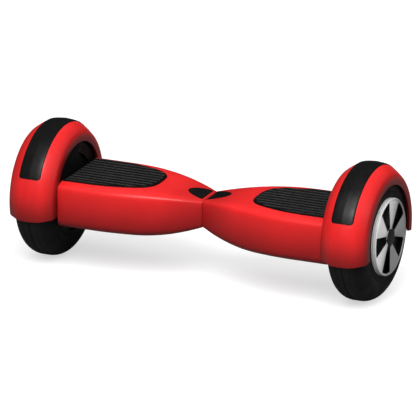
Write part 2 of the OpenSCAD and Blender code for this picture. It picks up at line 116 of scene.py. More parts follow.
def slab(upper: np.ndarray, lower: np.ndarray) -> Solid:
    """Closed solid between two grids: both grids, and a band of quads round their edges.

    Args:
        upper: points of one face, as rows x columns x 3.
        lower: points of the other face, in the same layout.

    Returns:
        The points and the faces.
    """
    rows, columns = upper.shape[:2]
    count = rows * columns
    quads = grid_quads(rows, columns)
    loop = rim_loop(rows, columns)
    after = np.roll(loop, -1)
    band = np.stack([loop, after, after + count, loop + count], axis=-1)
    points = np.concatenate([upper.reshape(-1, 3), lower.reshape(-1, 3)])
    return points, np.concatenate([quads, quads[:, ::-1] + count, band]).tolist()


def prism(near: np.ndarray, far: np.ndarray) -> Solid:
    """Closed solid between two matching rings of points, with flat ends."""
    count = len(near)
    ends = [list(range(count)), list(range(2 * count - 1, count - 1, -1))]
    return np.concatenate([near, far]), grid_quads(2, count, False, True).tolist() + ends


def turned_points(profile: np.ndarray, centre: tuple[float, float], angles: np.ndarray) -> np.ndarray:
    """Copies of an outline of (x, radius) points, each at an angle about a line along X.

    A point is (x, cy + radius * cos t, cz + radius * sin t), where t is the copy's angle.

    Args:
        profile: outline points, as n x 2.
        centre: Y and Z of the line.
        angles: angle of each copy, in radians from +Y towards +Z.

    Returns:
        The points of every copy in turn, in one list.
    """
    t = angles[:, None]
    x = np.broadcast_to(profile[:, 0], (len(angles), len(profile)))
    y = centre[0] + profile[:, 1] * np.cos(t)
    z = centre[1] + profile[:, 1] * np.sin(t)
    return np.stack([x, y, z], axis=-1).reshape(-1, 3)


def revolve(profile: np.ndarray, centre: tuple[float, float], steps: int) -> Solid:
    """Closed outline of (x, radius) points turned a full circle about a line along X.

    Args:
        profile: outline points, as n x 2.
        centre: Y and Z of the line.
        steps: number of copies of the outline round the circle, in equal steps.

    Returns:
        The points and the faces.
    """
    angles = np.linspace(0, 2 * np.pi, steps, endpoint=False)
    return turned_points(profile, centre, angles), grid_quads(steps, len(profile), True, True).tolist()


def arc_sweep(profile: np.ndarray, centre: tuple[float, float], angles: np.ndarray) -> Solid:
    """Closed outline of (x, radius) points carried along an arc about a line along X, with flat ends.

    Args:
        profile: outline points, as n x 2.
        centre: Y and Z of the line.
        angles: angle of each copy, in radians from +Y towards +Z.

    Returns:
        The points and the faces.
    """
    faces = grid_quads(len(angles), len(profile), False, True).tolist()
    first = np.arange(len(profile))
    faces.append(first.tolist())
    faces.append((first[::-1] + (len(angles) - 1) * len(profile)).tolist())
    return turned_points(profile, centre, angles), faces


def rounded(outline: np.ndarray, passes: int = 3, closed: bool = False) -> np.ndarray:
    """Outline with its corners cut off.

    Each pass puts points at a quarter and at three quarters of every side.

    Args:
        outline: points, as n x 2.
        passes: number of passes.
        closed: the last point joins the first one.

    Returns:
        The smoother outline, which keeps its two end points when it is open.
    """
    for _ in range(passes):
        ahead = np.roll(outline, -1, axis=0) if closed else outline[1:]
        start = outline if closed else outline[:-1]
        cut = np.stack([0.75 * start + 0.25 * ahead, 0.25 * start + 0.75 * ahead], axis=1).reshape(-1, 2)
        outline = cut if closed else np.concatenate([outline[:1], cut[1:-1], outline[-1:]])
    return outline


def squircle(angle: np.ndarray, power: float) -> tuple[np.ndarray, np.ndarray]:
    """Point of a superellipse of that power in the direction of an angle.

    The direction (cos, sin) is divided by the power-th root of |cos|^power + |sin|^power.
    """
    c, s = np.cos(angle), np.sin(angle)
    size = (np.abs(c) ** power + np.abs(s) ** power) ** (1 / power)
    return c / size, s / size


def eased_edge(inset: np.ndarray, radius: float) -> np.ndarray:
    """Height share of a rounded edge: a quarter circle from 0 at the edge to 1 one radius in."""
    share = np.clip(inset / radius, 0, 1)
    return np.sqrt(np.clip(1 - (1 - share) ** 2, 0, 1))


def spread(stops: Sequence[float], counts: Sequence[int]) -> np.ndarray:
    """Values along a line of stops, with its own number of even steps in each gap."""
    runs = [np.linspace(a, b, n, endpoint=False) for a, b, n in zip(stops[:-1], stops[1:], counts)]
    return np.concatenate([*runs, [stops[-1]]])


def joined(*solids: Solid) -> Solid:
    """Several solids as one list of points and one list of faces."""
    points, faces, first = [], [], 0
    for some, quads in solids:
        points.append(some)
        faces += [[n + first for n in face] for face in quads]
        first += len(some)
    return np.concatenate(points), faces


def make_piece(name: str, solid: Solid, side: Side = Side.RIGHT, crease: float = 35) -> Piece:
    """Mesh object of a closed solid, welded, with its faces outward.

    Args:
        name: name of the piece.
        solid: points drawn for the right half, and faces.
        side: half that the piece is for; the left one is mirrored in X.
        crease: angle in degrees above which an edge is drawn sharp.

    Returns:
        The new object, at the origin.
    """
    points, faces = solid
    mesh = bpy.data.meshes.new(name)
    mesh.from_pydata((points * (side.value, 1, 1)).tolist(), [], faces)
    work = bmesh.new()
    work.from_mesh(mesh)
    bmesh.ops.remove_doubles(work, verts=work.verts, dist=0.002 * MM)
    bmesh.ops.dissolve_degenerate(work, dist=0.001 * MM, edges=work.edges)
    bmesh.ops.recalc_face_normals(work, faces=work.faces)
    work.to_mesh(mesh)
    work.free()
    mesh.shade_smooth()
    mesh.set_sharp_from_angle(angle=math.radians(crease))
    piece = bpy.data.objects.new(name, mesh)
    bpy.context.scene.collection.objects.link(piece)
    return piece


def cut(piece: Piece, *cutters: Piece) -> None:
    """Cuts closed solids out of a piece and removes them."""
    for cutter in cutters:
        modifier = piece.modifiers.new("cut", "BOOLEAN")
        modifier.operation = "DIFFERENCE"
        modifier.solver = "EXACT"
        modifier.object = cutter
    shaped = bpy.data.meshes.new_from_object(piece.evaluated_get(bpy.context.evaluated_depsgraph_get()))
    piece.modifiers.clear()
    piece.data = shaped
    shaped.shade_smooth()
    shaped.set_sharp_from_angle(angle=math.radians(32))
    for cutter in cutters:
        bpy.data.objects.remove(cutter)


def bevel(piece: Piece, width: float, angle: float = 50) -> None:
    """Rounds a piece's sharp edges by a small width."""
    modifier = piece.modifiers.new("edge", "BEVEL")
    modifier.width = width
    modifier.segments = 2
    modifier.limit_method = "ANGLE"
    modifier.angle_limit = math.radians(angle)
    modifier.use_clamp_overlap = True
    modifier.harden_normals = True


# ---------------------------------------------------------------- finishes


class Tree:
    """A node tree with short ways to add and join nodes."""

    def __init__(self, tree: bpy.types.NodeTree) -> None:
        """Keeps the tree."""
        self.tree = tree

    def add(self, kind: str, inputs: dict[Any, Any] | None = None, **settings: Any) -> bpy.types.Node:
        """Adds a node.

        Args:
            kind: Blender's name of the node type.
            inputs: a value or an output socket for each named or numbered input.
            settings: the node's own properties.

        Returns:
            The new node.
        """
        made = self.tree.nodes.new(kind)
        for key, value in settings.items():
            setattr(made, key, value)
        for key, value in (inputs or {}).items():
            if isinstance(value, Socket):
                self.tree.links.new(value, made.inputs[key])
            else:
                made.inputs[key].default_value = value
        return made

    def effect(self, group: bpy.types.NodeTree, values: dict[str, Any]) -> Socket:
        """Places a shared effect and gives back its output.

        Args:
            group: the effect's node group.
            values: a value or an output socket for each of the group's named inputs.

        Returns:
            The group's one output socket.
        """
        return self.add("ShaderNodeGroup", values, node_tree=group).outputs[0]

    def math(self, operation: str, a: Any, b: Any = 0.0, clamp: bool = False) -> Socket:
        """Output of a Math node."""
        return self.add("ShaderNodeMath", {0: a, 1: b}, operation=operation, use_clamp=clamp).outputs[0]

    def span(self, value: Any, low: float, high: float, to_low: float = 0.0, to_high: float = 1.0) -> Socket:
        """Value carried smoothly from one range to another."""
        inputs = {0: value, 1: low, 2: high, 3: to_low, 4: to_high}
        return self.add("ShaderNodeMapRange", inputs, interpolation_type="SMOOTHSTEP").outputs[0]

    def mix(self, factor: Any, a: Any, b: Any) -> Socket:
        """Output of a colour Mix node."""
        return self.add("ShaderNodeMix", {0: factor, 6: a, 7: b}, data_type="RGBA").outputs[2]

    def axle_distance(self, vector: Any) -> Socket:
        """Distance of a point from the X axis."""
        flat = self.add("ShaderNodeVectorMath", {0: vector, 1: (0.0, 1.0, 1.0)}, operation="MULTIPLY")
        return self.add("ShaderNodeVectorMath", {0: flat.outputs[0]}, operation="LENGTH").outputs["Value"]

    def noise(self, vector: Any, scale: Any, detail: float = 3.0, roughness: float = 0.55) -> Socket:
        """Height of a noise pattern, from 0 to 1."""
        inputs = {"Vector": vector, "Scale": scale, "Detail": detail, "Roughness": roughness}
        return self.add("ShaderNodeTexNoise", inputs).outputs[0]

    def closed(self, result: Socket) -> bpy.types.NodeTree:
        """Sends an effect's result to its output and gives back the effect's group."""
        self.add("NodeGroupOutput", {0: result})
        return self.tree


def fresh_tree(owner: bpy.types.Material | bpy.types.World) -> Tree:
    """Empty node tree of a new material or world."""
    owner.use_nodes = True
    owner.node_tree.nodes.clear()
    return Tree(owner.node_tree)


class Kind(Enum):
    """Kind of value that a shared effect takes or gives."""

    VECTOR = "NodeSocketVector"
    NUMBER = "NodeSocketFloat"
    COLOUR = "NodeSocketColor"


class Effects:
    """Shared effects, each a node group that is built once."""

    def group(self, name: str, inputs: dict[str, Kind], output: str, kind: Kind) -> tuple[Tree, Any]:
        """Starts an effect's group.

        Args:
            name: name of the group.
            inputs: name and kind of each input.
            output: name of the one output.
            kind: kind of the output.

        Returns:
            The group's tree and the sockets of its inputs.
        """
        made = bpy.data.node_groups.new(name, "ShaderNodeTree")
        for label, taken in inputs.items():
            made.interface.new_socket(name=label, in_out="INPUT", socket_type=taken.value)
        made.interface.new_socket(name=output, in_out="OUTPUT", socket_type=kind.value)
        tree = Tree(made)
        return tree, tree.add("NodeGroupInput").outputs

    @cache
    def patches(self) -> bpy.types.NodeTree:
        """Colour that drifts in soft patches between two colours."""
        inputs = {"Vector": Kind.VECTOR, "Scale": Kind.NUMBER, "Amount": Kind.NUMBER,
                  "Colour": Kind.COLOUR, "Tint": Kind.COLOUR}
        tree, given = self.group("patches", inputs, "Colour", Kind.COLOUR)
        broad = tree.noise(given["Vector"], given["Scale"], 4.0)
        share = tree.math("MULTIPLY", tree.span(broad, 0.35, 0.7), given["Amount"])
        return tree.closed(tree.mix(share, given["Colour"], given["Tint"]))

    @cache
    def grain(self) -> bpy.types.NodeTree:
        """Height of a moulded grain: rounded cells with a fine roughness on them."""
        inputs = {"Vector": Kind.VECTOR, "Scale": Kind.NUMBER, "Fineness": Kind.NUMBER}
        tree, given = self.group("grain", inputs, "Height", Kind.NUMBER)
        cells = tree.add("ShaderNodeTexVoronoi", {"Vector": given["Vector"], "Scale": given["Scale"]},
                         feature="SMOOTH_F1").outputs["Distance"]
        fine = tree.noise(given["Vector"], tree.math("MULTIPLY", given["Scale"], 2.6), 2.0)
        return tree.closed(tree.math("ADD", cells, tree.math("MULTIPLY", fine, given["Fineness"])))

    @cache
    def scuffs(self) -> bpy.types.NodeTree:
        """Mask of thin scratches that run two ways, broken up by patches."""
        inputs = {"Vector": Kind.VECTOR, "Scale": Kind.NUMBER, "Amount": Kind.NUMBER}
        tree, given = self.group("scuffs", inputs, "Mask", Kind.NUMBER)
        thickness = 0.012
        lines = []
        for turn in (0.5, 2.0):
            drawn_out = {"Vector": given["Vector"], "Rotation": (0.4, turn, turn), "Scale": (1.0, 14.0, 3.0)}
            streak = tree.noise(tree.add("ShaderNodeMapping", drawn_out).outputs[0], given["Scale"], 2.0)
            away = tree.math("ABSOLUTE", tree.math("SUBTRACT", streak, 0.5))
            lines.append(tree.span(away, 0.0, thickness, 1.0, 0.0))
        where = tree.span(tree.noise(given["Vector"], 22.0, 2.0), 0.5, 0.66)
        mask = tree.math("MULTIPLY", tree.math("MAXIMUM", lines[0], lines[1]), where)
        return tree.closed(tree.math("MULTIPLY", mask, given["Amount"]))

    @cache
    def dust(self) -> bpy.types.NodeTree:
        """Mask of fine dust that lies on faces that look up."""
        inputs = {"Vector": Kind.VECTOR, "Scale": Kind.NUMBER, "Amount": Kind.NUMBER}
        tree, given = self.group("dust", inputs, "Mask", Kind.NUMBER)
        normal = tree.add("ShaderNodeSeparateXYZ", {0: tree.add("ShaderNodeNewGeometry").outputs["Normal"]})
        upward = tree.span(normal.outputs[2], 0.1, 1.0)
        specks = tree.span(tree.noise(given["Vector"], given["Scale"], 6.0, 0.7), 0.42, 0.72)
        return tree.closed(tree.math("MULTIPLY", tree.math("MULTIPLY", upward, specks), given["Amount"]))

    @cache
    def turned(self) -> bpy.types.NodeTree:
        """Height of tool marks in rings round the X axis of a centred vector."""
        inputs = {"Vector": Kind.VECTOR, "Density": Kind.NUMBER}
        tree, given = self.group("turned", inputs, "Height", Kind.NUMBER)
        radius = tree.axle_distance(given["Vector"])
        along = tree.add("ShaderNodeSeparateXYZ", {0: given["Vector"]}).outputs[0]
        place = tree.add("ShaderNodeCombineXYZ", {0: radius, 1: along})
        return tree.closed(tree.noise(place.outputs[0], given["Density"], 4.0, 0.7))


EFFECTS = Effects()


@dataclass(frozen=True)
class Finish:
    """A surface finish: its colours, gloss and small relief, in plain numbers.

    Scales are in features per metre and the grain's height is in metres. The roughness swings up
    and down by the uneven amount, and dust and scuffs add to it by the dulling share.
    """

    name: str
    slot: str
    colour: Colour
    tint: Colour
    metallic: float = 0.0
    roughness: float = 0.4
    uneven: float = 0.08
    specular: float = 0.5
    coat: float = 0.0
    coat_roughness: float = 0.1
    patch_scale: float = 26.0
    patch_amount: float = 0.5
    grain_scale: float = 1800.0
    grain_height: float = 0.00002
    fineness: float = 0.5
    dust: float = 0.12
    dust_scale: float = 160.0
    dust_colour: Colour = (0.32, 0.3, 0.28, 1.0)
    scuffs: float = 0.15
    scuff_scale: float = 60.0
    scuff_depth: float = 0.6
    dulling: float = 0.5

    def colour_of(self, tree: Tree, vector: Socket) -> Socket:
        """Main colour, before dust, as an output socket."""
        inputs = {"Vector": vector, "Scale": self.patch_scale, "Amount": self.patch_amount,
                  "Colour": self.colour, "Tint": self.tint}
        return tree.effect(EFFECTS.patches(), inputs)

    def height_of(self, tree: Tree, vector: Socket) -> Socket:
        """Small relief in units of grain_height, as an output socket."""
        inputs = {"Vector": vector, "Scale": self.grain_scale, "Fineness": self.fineness}
        return tree.effect(EFFECTS.grain(), inputs)

    def material(self, centre: Point = (0.0, 0.0, 0.0)) -> bpy.types.Material:
        """Material of this finish, with its patterns centred on a point.

        Args:
            centre: point of the board, in metres.

        Returns:
            The material, which is built once for each centre.
        """
        label = f"{self.name}_finish" + "".join(f"_{round(c * 1000)}" for c in centre if c)
        known = bpy.data.materials.get(label)
        if known:
            return known
        made = bpy.data.materials.new(label)
        made.diffuse_color = self.colour
        tree = fresh_tree(made)
        place = tree.add("ShaderNodeTexCoord").outputs["Object"]
        shift = tuple(-c for c in centre)
        vector = tree.add("ShaderNodeMapping", {"Vector": place, "Location": shift}).outputs[0]
        dust = tree.effect(EFFECTS.dust(), {"Vector": vector, "Scale": self.dust_scale, "Amount": self.dust})
        marks = {"Vector": vector, "Scale": self.scuff_scale, "Amount": self.scuffs}
        scuffs = tree.effect(EFFECTS.scuffs(), marks)
        colour = tree.mix(dust, self.colour_of(tree, vector), self.dust_colour)
        patch = tree.noise(vector, self.patch_scale * 1.7, 3.0)
        rough = tree.span(patch, 0.3, 0.7, self.roughness - self.uneven, self.roughness + self.uneven)
        dulled = tree.math("MULTIPLY", tree.math("ADD", scuffs, dust), self.dulling)
        rough = tree.math("ADD", rough, dulled, clamp=True)
        scratched = tree.math("MULTIPLY", scuffs, self.scuff_depth)
        relief = tree.math("SUBTRACT", self.height_of(tree, vector), scratched)
        bump = tree.add("ShaderNodeBump", {"Strength": 1.0, "Distance": self.grain_height, "Height": relief})
        surface = tree.add("ShaderNodeBsdfPrincipled", {
            "Base Color": colour, "Metallic": self.metallic, "Roughness": rough,
            "Specular IOR Level": self.specular, "Coat Weight": self.coat,
            "Coat Roughness": self.coat_roughness, "Normal": bump.outputs[0]})
        tree.add("ShaderNodeOutputMaterial", {0: surface.outputs[0]})
        return made


@dataclass(frozen=True)
class ShellPaint(Finish):
    """Glossy coloured plastic with painted shade that deepens towards its lower edge and towards the waist.
    """

    # Painted shade: the deep colour darkens the shell below the low-to-high band and towards the waist.
    low: float = 0.058
    high: float = 0.108
    deep: Colour = (0.16, 0.004, 0.005, 1.0)
    depth: float = 0.8
    wander: float = 0.012
    wander_scale: float = 14.0
    waist: tuple[float, float] = (0.012, 0.06)
    waist_depth: float = 0.3

    def place(self, tree: Tree, vector: Socket) -> bpy.types.Node:
        """The point's X, Y and Z."""
        return tree.add("ShaderNodeSeparateXYZ", {0: vector})

    def film(self, tree: Tree, vector: Socket) -> Socket:
        """Share of the deep colour towards the waist, where the sections narrow, as painted shade."""
        reach = tree.math("ABSOLUTE", self.place(tree, vector).outputs[0])
        return tree.span(reach, *self.waist, self.waist_depth, 0.0)

    def colour_of(self, tree: Tree, vector: Socket) -> Socket:
        """Main colour mixed with the deep one as painted shade below a height that wanders a little."""
        patch = tree.math("SUBTRACT", tree.noise(vector, self.wander_scale, 3.0), 0.5)
        wander = tree.math("MULTIPLY", patch, self.wander)
        height = tree.math("ADD", self.place(tree, vector).outputs[2], wander)
        # Painted shade towards the lower edge, and in the upper colour towards the waist.
        share = tree.span(height, self.low, self.high, self.depth, 0.0)
        upper = tree.mix(self.film(tree, vector), super().colour_of(tree, vector), self.deep)
        return tree.mix(share, upper, self.deep)


@dataclass(frozen=True)
class ArchPaint(ShellPaint):
    """Shell paint whose painted shade also deepens on the arch's sides, from the crown in to the mouth."""

    centre: float = 0.086
    mouth: float = 0.066
    crown: float = 0.0883
    side_depth: float = 0.9

    def film(self, tree: Tree, vector: Socket) -> Socket:
        """Share of the deep colour as painted shade, by the distance from the arch's centre line."""
        shift = {"Vector": vector, "Location": (0.0, 0.0, -self.centre)}
        # Painted shade, darker towards the mouth where the arch's side turns into the wheel opening.
        radius = tree.axle_distance(tree.add("ShaderNodeMapping", shift).outputs[0])
        return tree.span(radius, self.mouth, self.crown, self.side_depth, 0.0)


@dataclass(frozen=True)
class RibbedRubber(Finish):
    """Rubber whose raised ribs carry a painted highlight, paler than the grooves between them."""

    # The paler colour over each rib's crest is a painted highlight, broken up by noise.
    crest: float = 0.1175
    rib_height: float = 0.0009
    pale_patch_scale: float = 220.0
    worn: Colour = (0.044, 0.044, 0.044, 1.0)

    def colour_of(self, tree: Tree, vector: Socket) -> Socket:
        """Main colour, with a painted highlight over the top of each rib, broken up by noise."""
        height = tree.add("ShaderNodeSeparateXYZ", {0: vector}).outputs[2]
        # Painted highlight along the top of each rib.
        share = tree.span(height, self.crest - self.rib_height, self.crest)
        highlight_break = tree.span(tree.noise(vector, self.pale_patch_scale, 3.0), 0.25, 0.6, 0.5, 1.0)
        broken = tree.math("MULTIPLY", share, highlight_break)
        return tree.mix(broken, super().colour_of(tree, vector), self.worn)


@dataclass(frozen=True)
class TyreRubber(Finish):
    """Solid tyre rubber with a scuffed, paler tread."""

    tread: float = 0.0845
    tread_depth: float = 0.004
    pale_patch_scale: float = 90.0
    worn: Colour = (0.016, 0.016, 0.016, 1.0)

    def colour_of(self, tree: Tree, vector: Socket) -> Socket:
        """Main colour, paler where the distance from the axle reaches the tread."""
        outer = tree.span(tree.axle_distance(vector), self.tread - self.tread_depth, self.tread)
        share = tree.math("MULTIPLY", outer, tree.noise(vector, self.pale_patch_scale, 5.0))
        return tree.mix(share, super().colour_of(tree, vector), self.worn)


@dataclass(frozen=True)
class TurnedMetal(Finish):
    """Metal or silver paint with fine tool marks in rings round the axle."""

    density: float = 900.0
    mark: Colour = (0.2, 0.2, 0.21, 1.0)
    mark_amount: float = 0.35

    def rings(self, tree: Tree, vector: Socket) -> Socket:
        """Height of the tool marks."""
        return tree.effect(EFFECTS.turned(), {"Vector": vector, "Density": self.density})

    def colour_of(self, tree: Tree, vector: Socket) -> Socket:
        """Main colour, darker in the tool marks."""
        share = tree.math("MULTIPLY", tree.span(self.rings(tree, vector), 0.4, 0.75), self.mark_amount)
        return tree.mix(share, super().colour_of(tree, vector), self.mark)

    def height_of(self, tree: Tree, vector: Socket) -> Socket:
        """Tool marks instead of a moulded grain."""
        return self.rings(tree, vector)


@dataclass(frozen=True)
class CoverPaint(TurnedMetal):
    """Silver paint on a wheel cover, with a painted highlight towards the front and painted shade away from
    it.

    The painted shade starts and ends at shares of the cover's reach, along a line that leans down as it
    goes back. Inside that depth and radius the cover is painted near black, as shade in its openings.
    """

    reach: float = 0.045
    lean: float = -0.5
    fade: tuple[float, float] = (-0.75, 0.4)
    # Painted shade: the grey towards the back and bottom, and the near black inside the openings.
    thin: Colour = (0.3, 0.3, 0.303, 1.0)
    inside: tuple[float, float] = (0.0317, 0.0476)
    bare: Colour = (0.004, 0.004, 0.004, 1.0)

    def colour_of(self, tree: Tree, vector: Socket) -> Socket:
        """Main colour mixed with the shade grey by how far back and how low the point lies, and painted shade
        inside.
        """
        place = tree.add("ShaderNodeSeparateXYZ", {0: vector})
        # Painted highlight towards the front, fading to painted shade towards the back and bottom.
        back = tree.math("ADD", place.outputs[1], tree.math("MULTIPLY", place.outputs[2], self.lean))
        share = tree.span(back, self.fade[0] * self.reach, self.fade[1] * self.reach)
        # Painted shade: the walls of the openings and the rim's inner wall, inside that depth and radius, go
        # near black.
        depth, radius = self.inside
        deep = tree.math("LESS_THAN", tree.math("ABSOLUTE", place.outputs[0]), depth)
        hidden = tree.math("MULTIPLY", deep, tree.math("LESS_THAN", tree.axle_distance(vector), radius))
        return tree.mix(hidden, tree.mix(share, super().colour_of(tree, vector), self.thin), self.bare)


@dataclass(frozen=True)
class SolderMask(Finish):
    """Circuit board lacquer with the copper tracks showing through it."""

    track: Colour = (0.05, 0.32, 0.12, 1.0)

    def colour_of(self, tree: Tree, vector: Socket) -> Socket:
        """Main colour with paler tracks, drawn as the joints between rows of long blocks."""
        inputs = {"Vector": vector, "Scale": 90.0, "Mortar Size": 0.03, "Brick Width": 0.7,
                  "Row Height": 0.18, "Color1": self.colour, "Color2": self.tint, "Mortar": self.track}
        return tree.add("ShaderNodeTexBrick", inputs, offset=0.37).outputs["Color"]


@dataclass(frozen=True)
class WoundWire(Finish):
    """Enamelled wire laid in close turns round the axle."""

    turns: float = 1400.0
    gap: Colour = (0.12, 0.04, 0.015, 1.0)

    def waves(self, tree: Tree, vector: Socket) -> Socket:
        """Round wires side by side, as rings about the X axis."""
        inputs = {"Vector": vector, "Scale": self.turns, "Distortion": 0.6, "Detail": 1.0}
        return tree.add("ShaderNodeTexWave", inputs, wave_type="RINGS", rings_direction="X").outputs["Fac"]

    def colour_of(self, tree: Tree, vector: Socket) -> Socket:
        """Main colour on the wires and a dark one between them."""
        share = tree.span(self.waves(tree, vector), 0.0, 0.5)
        return tree.mix(share, self.gap, super().colour_of(tree, vector))

    def height_of(self, tree: Tree, vector: Socket) -> Socket:
        """Height of the wires."""
        return self.waves(tree, vector)


def grey(value: float, warm: float = 0.0) -> Colour:
    """Grey of that brightness, a little warm or cold."""
    return (value + warm, value, value - warm, 1.0)


BODY_RED = ShellPaint("body_red", "shell_red", (0.86, 0.02, 0.021, 1.0), (0.81, 0.015, 0.016, 1.0),
                      roughness=0.36, uneven=0.04, specular=0.3, coat=0.1, coat_roughness=0.25,
                      grain_scale=900.0, grain_height=0.000004, dust=0.01, scuffs=0.06)
ARCH_RED = ArchPaint("arch_red", "shell_red", (0.84, 0.02, 0.021, 1.0), (0.78, 0.015, 0.016, 1.0),
                     roughness=0.36, uneven=0.04, specular=0.3, coat=0.1, coat_roughness=0.25,
                     grain_scale=900.0, grain_height=0.000004, dust=0.01, scuffs=0.08,
                     low=0.062, high=0.112, depth=0.7, deep=(0.055, 0.003, 0.003, 1.0))
STRIP_RUBBER = Finish("strip_rubber", "trim_rubber", grey(0.0035), grey(0.006), roughness=0.4, uneven=0.05,
                      specular=0.5, grain_scale=1500.0, grain_height=0.00004, dust=0.015)
PAD_RUBBER = RibbedRubber("pad_rubber", "pad_rubber", grey(0.004), grey(0.007), roughness=0.5, uneven=0.07,
                          specular=0.15, grain_scale=2200.0, grain_height=0.00003, dust=0.006)
INNER_PLASTIC = Finish("inner_plastic", "inner_plastic", grey(0.02), grey(0.03), roughness=0.55,
                       grain_height=0.00003)
SMOKED_LENS = Finish("smoked_lens", "lens", grey(0.004), grey(0.006), roughness=0.16, uneven=0.03, coat=0.3,
                     coat_roughness=0.06, grain_scale=700.0, grain_height=0.000002, dust=0.01, scuffs=0.1)
CIRCUIT = SolderMask("solder_mask", "circuit_board", (0.012, 0.14, 0.05, 1.0), (0.016, 0.18, 0.06, 1.0),
                     roughness=0.35)
CAST = Finish("cast_aluminium", "cast_aluminium", grey(0.5), grey(0.4, 0.01), metallic=0.9, roughness=0.55,
              grain_scale=700.0, grain_height=0.00012, fineness=1.0)
STEEL = TurnedMetal("turned_steel", "steel", grey(0.48), grey(0.4, 0.01), metallic=1.0, roughness=0.3,
                    grain_height=0.000012, dust=0.02)
SCREW_STEEL = TurnedMetal("black_screws", "screw_steel", grey(0.07), grey(0.12), metallic=0.9, roughness=0.42,
                          grain_height=0.00001, dust=0.05)
COPPER = WoundWire("copper_wire", "copper", (0.62, 0.2, 0.06, 1.0), (0.5, 0.14, 0.04, 1.0), metallic=0.9,
                   roughness=0.32, grain_height=0.0003)
CASING_BLACK = Finish("casing_paint", "casing_black", grey(0.004), grey(0.007), roughness=0.5, specular=0.3,
                      grain_scale=1600.0, grain_height=0.00002, dust=0.01)
MAGNET = TurnedMetal("magnet_nickel", "magnet", grey(0.45), grey(0.36), metallic=1.0, roughness=0.35)
TYRE = TyreRubber("tyre_rubber", "tyre", grey(0.003), grey(0.005), roughness=0.62, uneven=0.08, specular=0.25,
                  grain_scale=1300.0, grain_height=0.00005, dust=0.006)
COVER_SILVER = CoverPaint("cover_silver", "cover_silver", grey(1.0), grey(0.9), metallic=0.1, roughness=0.38,
                          coat=0.2, grain_height=0.00001, dust=0.0, density=520.0, mark=grey(0.5))
CAP_BLACK = Finish("cap_black", "cap_black", grey(0.005), grey(0.008), roughness=0.45, specular=0.35,
                   grain_height=0.00002, dust=0.01)
CABLE_SHEATH = Finish("cable_sheath", "cable", grey(0.012), grey(0.02), roughness=0.6, grain_height=0.00004)
BRONZE = TurnedMetal("sintered_bronze", "bronze", (0.5, 0.3, 0.12, 1.0), (0.4, 0.22, 0.08, 1.0), metallic=1.0,
                     roughness=0.42, mark=(0.2, 0.12, 0.05, 1.0))
BATTERY_WRAP = Finish("battery_wrap", "battery_wrap", (0.02, 0.09, 0.4, 1.0), (0.03, 0.13, 0.5, 1.0),
                      roughness=0.3, coat=0.3, grain_scale=160.0, grain_height=0.0004)


def dress(piece: Piece, finish: Finish, centre: Point = (0.0, 0.0, 0.0)) -> None:
    """Gives a piece one finish, in place of any it had."""
    piece.data.materials.clear()
    piece.data.materials.append(finish.material(centre))


def fit(piece: Piece, finish: Finish, body: str, *nodes: str, centre: Point = (0.0, 0.0, 0.0)) -> None:
    """Finishes a new piece, puts it on its body and lets it stand for the model's nodes.

    Args:
        piece: the new piece.
        finish: its finish.
        body: the body that it moves with.
        nodes: the nodes that it stands for.
        centre: point that the finish's patterns are centred on.
    """
    dress(piece, finish, centre)
    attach(piece, body)
    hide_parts(*nodes)
    LOG.info("%s stands for %s and rides on %s", piece.name, ", ".join(nodes), body)


# ---------------------------------------------------------------- sub-assemblies


@dataclass
class Outline:
    """Plan and section of one body half, drawn for the right side.

    Each ease is the reach along X and the power of a change that starts at the seam.
    """

    waist_half: float = 0.024
    end_half: float = 0.064
    waist_top: float = 0.1055
    deck_top: float = 0.116
    waist_bottom: float = 0.069
    edge_bottom: float = 0.058
    belly_drop: float = 0.009
    start: float = 0.0003
    end: float = 0.18295
    width_ease: tuple[float, float] = (0.135, 1.9)
    deck_ease: tuple[float, float] = (0.11, 2.1)
    edge_ease: tuple[float, float] = (0.085, 2.0)
    top_power: float = 7.0
    low_power: float = 9.0
    crowding: float = 1.12

    def ease(self, x: np.ndarray, reach: float, power: float) -> np.ndarray:
        """Share left of a change that dies out at its reach: (1 - x / reach) to a power."""
        return np.clip(1 - x / reach, 0, 1) ** power

    def half_width(self, x: np.ndarray) -> np.ndarray:
        """Half the width at x: full width less the waist's narrowing, eased over its reach."""
        return self.end_half - (self.end_half - self.waist_half) * self.ease(x, *self.width_ease)

    def deck(self, x: np.ndarray) -> np.ndarray:
        """Height of the deck at x, eased up from the waist."""
        return self.deck_top - (self.deck_top - self.waist_top) * self.ease(x, *self.deck_ease)

    def edge(self, x: np.ndarray) -> np.ndarray:
        """Height of the lower edge at x, eased down from the waist."""
        return self.edge_bottom + (self.waist_bottom - self.edge_bottom) * self.ease(x, *self.edge_ease)

    def section(self, x: np.ndarray, angle: np.ndarray, inset: float) -> np.ndarray:
        """Points of the skin at stations x and section angles.

        Above the middle height the section is a superellipse of the top power that reaches the deck.
        Below it is one of the low power that reaches the lower edge, less a belly whose depth goes as
        1 - c squared, where c is the share of the half width.

        Args:
            x: stations, as a column.
            angle: angles from +Y towards +Z, as a row, in radians.
            inset: distance from the outer skin.

        Returns:
            Points, as rows x columns x 3.
        """
        half = self.half_width(x) - inset
        middle = (self.deck(x) + self.edge(x)) / 2
        belly = self.belly_drop * (1 - self.ease(x, *self.edge_ease))
        high_c, high_s = squircle(angle, self.top_power)
        low_c, low_s = squircle(angle, self.low_power)
        upper = middle + (self.deck(x) - inset - middle) * high_s
        lower = middle - (middle - self.edge(x) - inset) * np.abs(low_s) - belly * (1 - low_c**2)
        above = np.sin(angle) >= 0
        y = half * np.where(above, high_c, low_c)
        z = np.where(above, upper, lower)
        return np.stack([np.broadcast_to(x, y.shape), y, z], axis=-1)

    def skin_height(self, x: np.ndarray, y: np.ndarray) -> np.ndarray:
        """Height of the deck's skin over a plan point: the upper superellipse solved for z."""
        middle = (self.deck(x) + self.edge(x)) / 2
        share = np.clip(1 - np.abs(y / self.half_width(x)) ** self.top_power, 0, 1) ** (1 / self.top_power)
        return middle + (self.deck(x) - middle) * share

    def stations(self, count: int) -> np.ndarray:
        """Stations from the seam to the arch, a little closer together at the waist."""
        return (self.start + (self.end - self.start) * np.linspace(0, 1, count) ** self.crowding)[:, None]


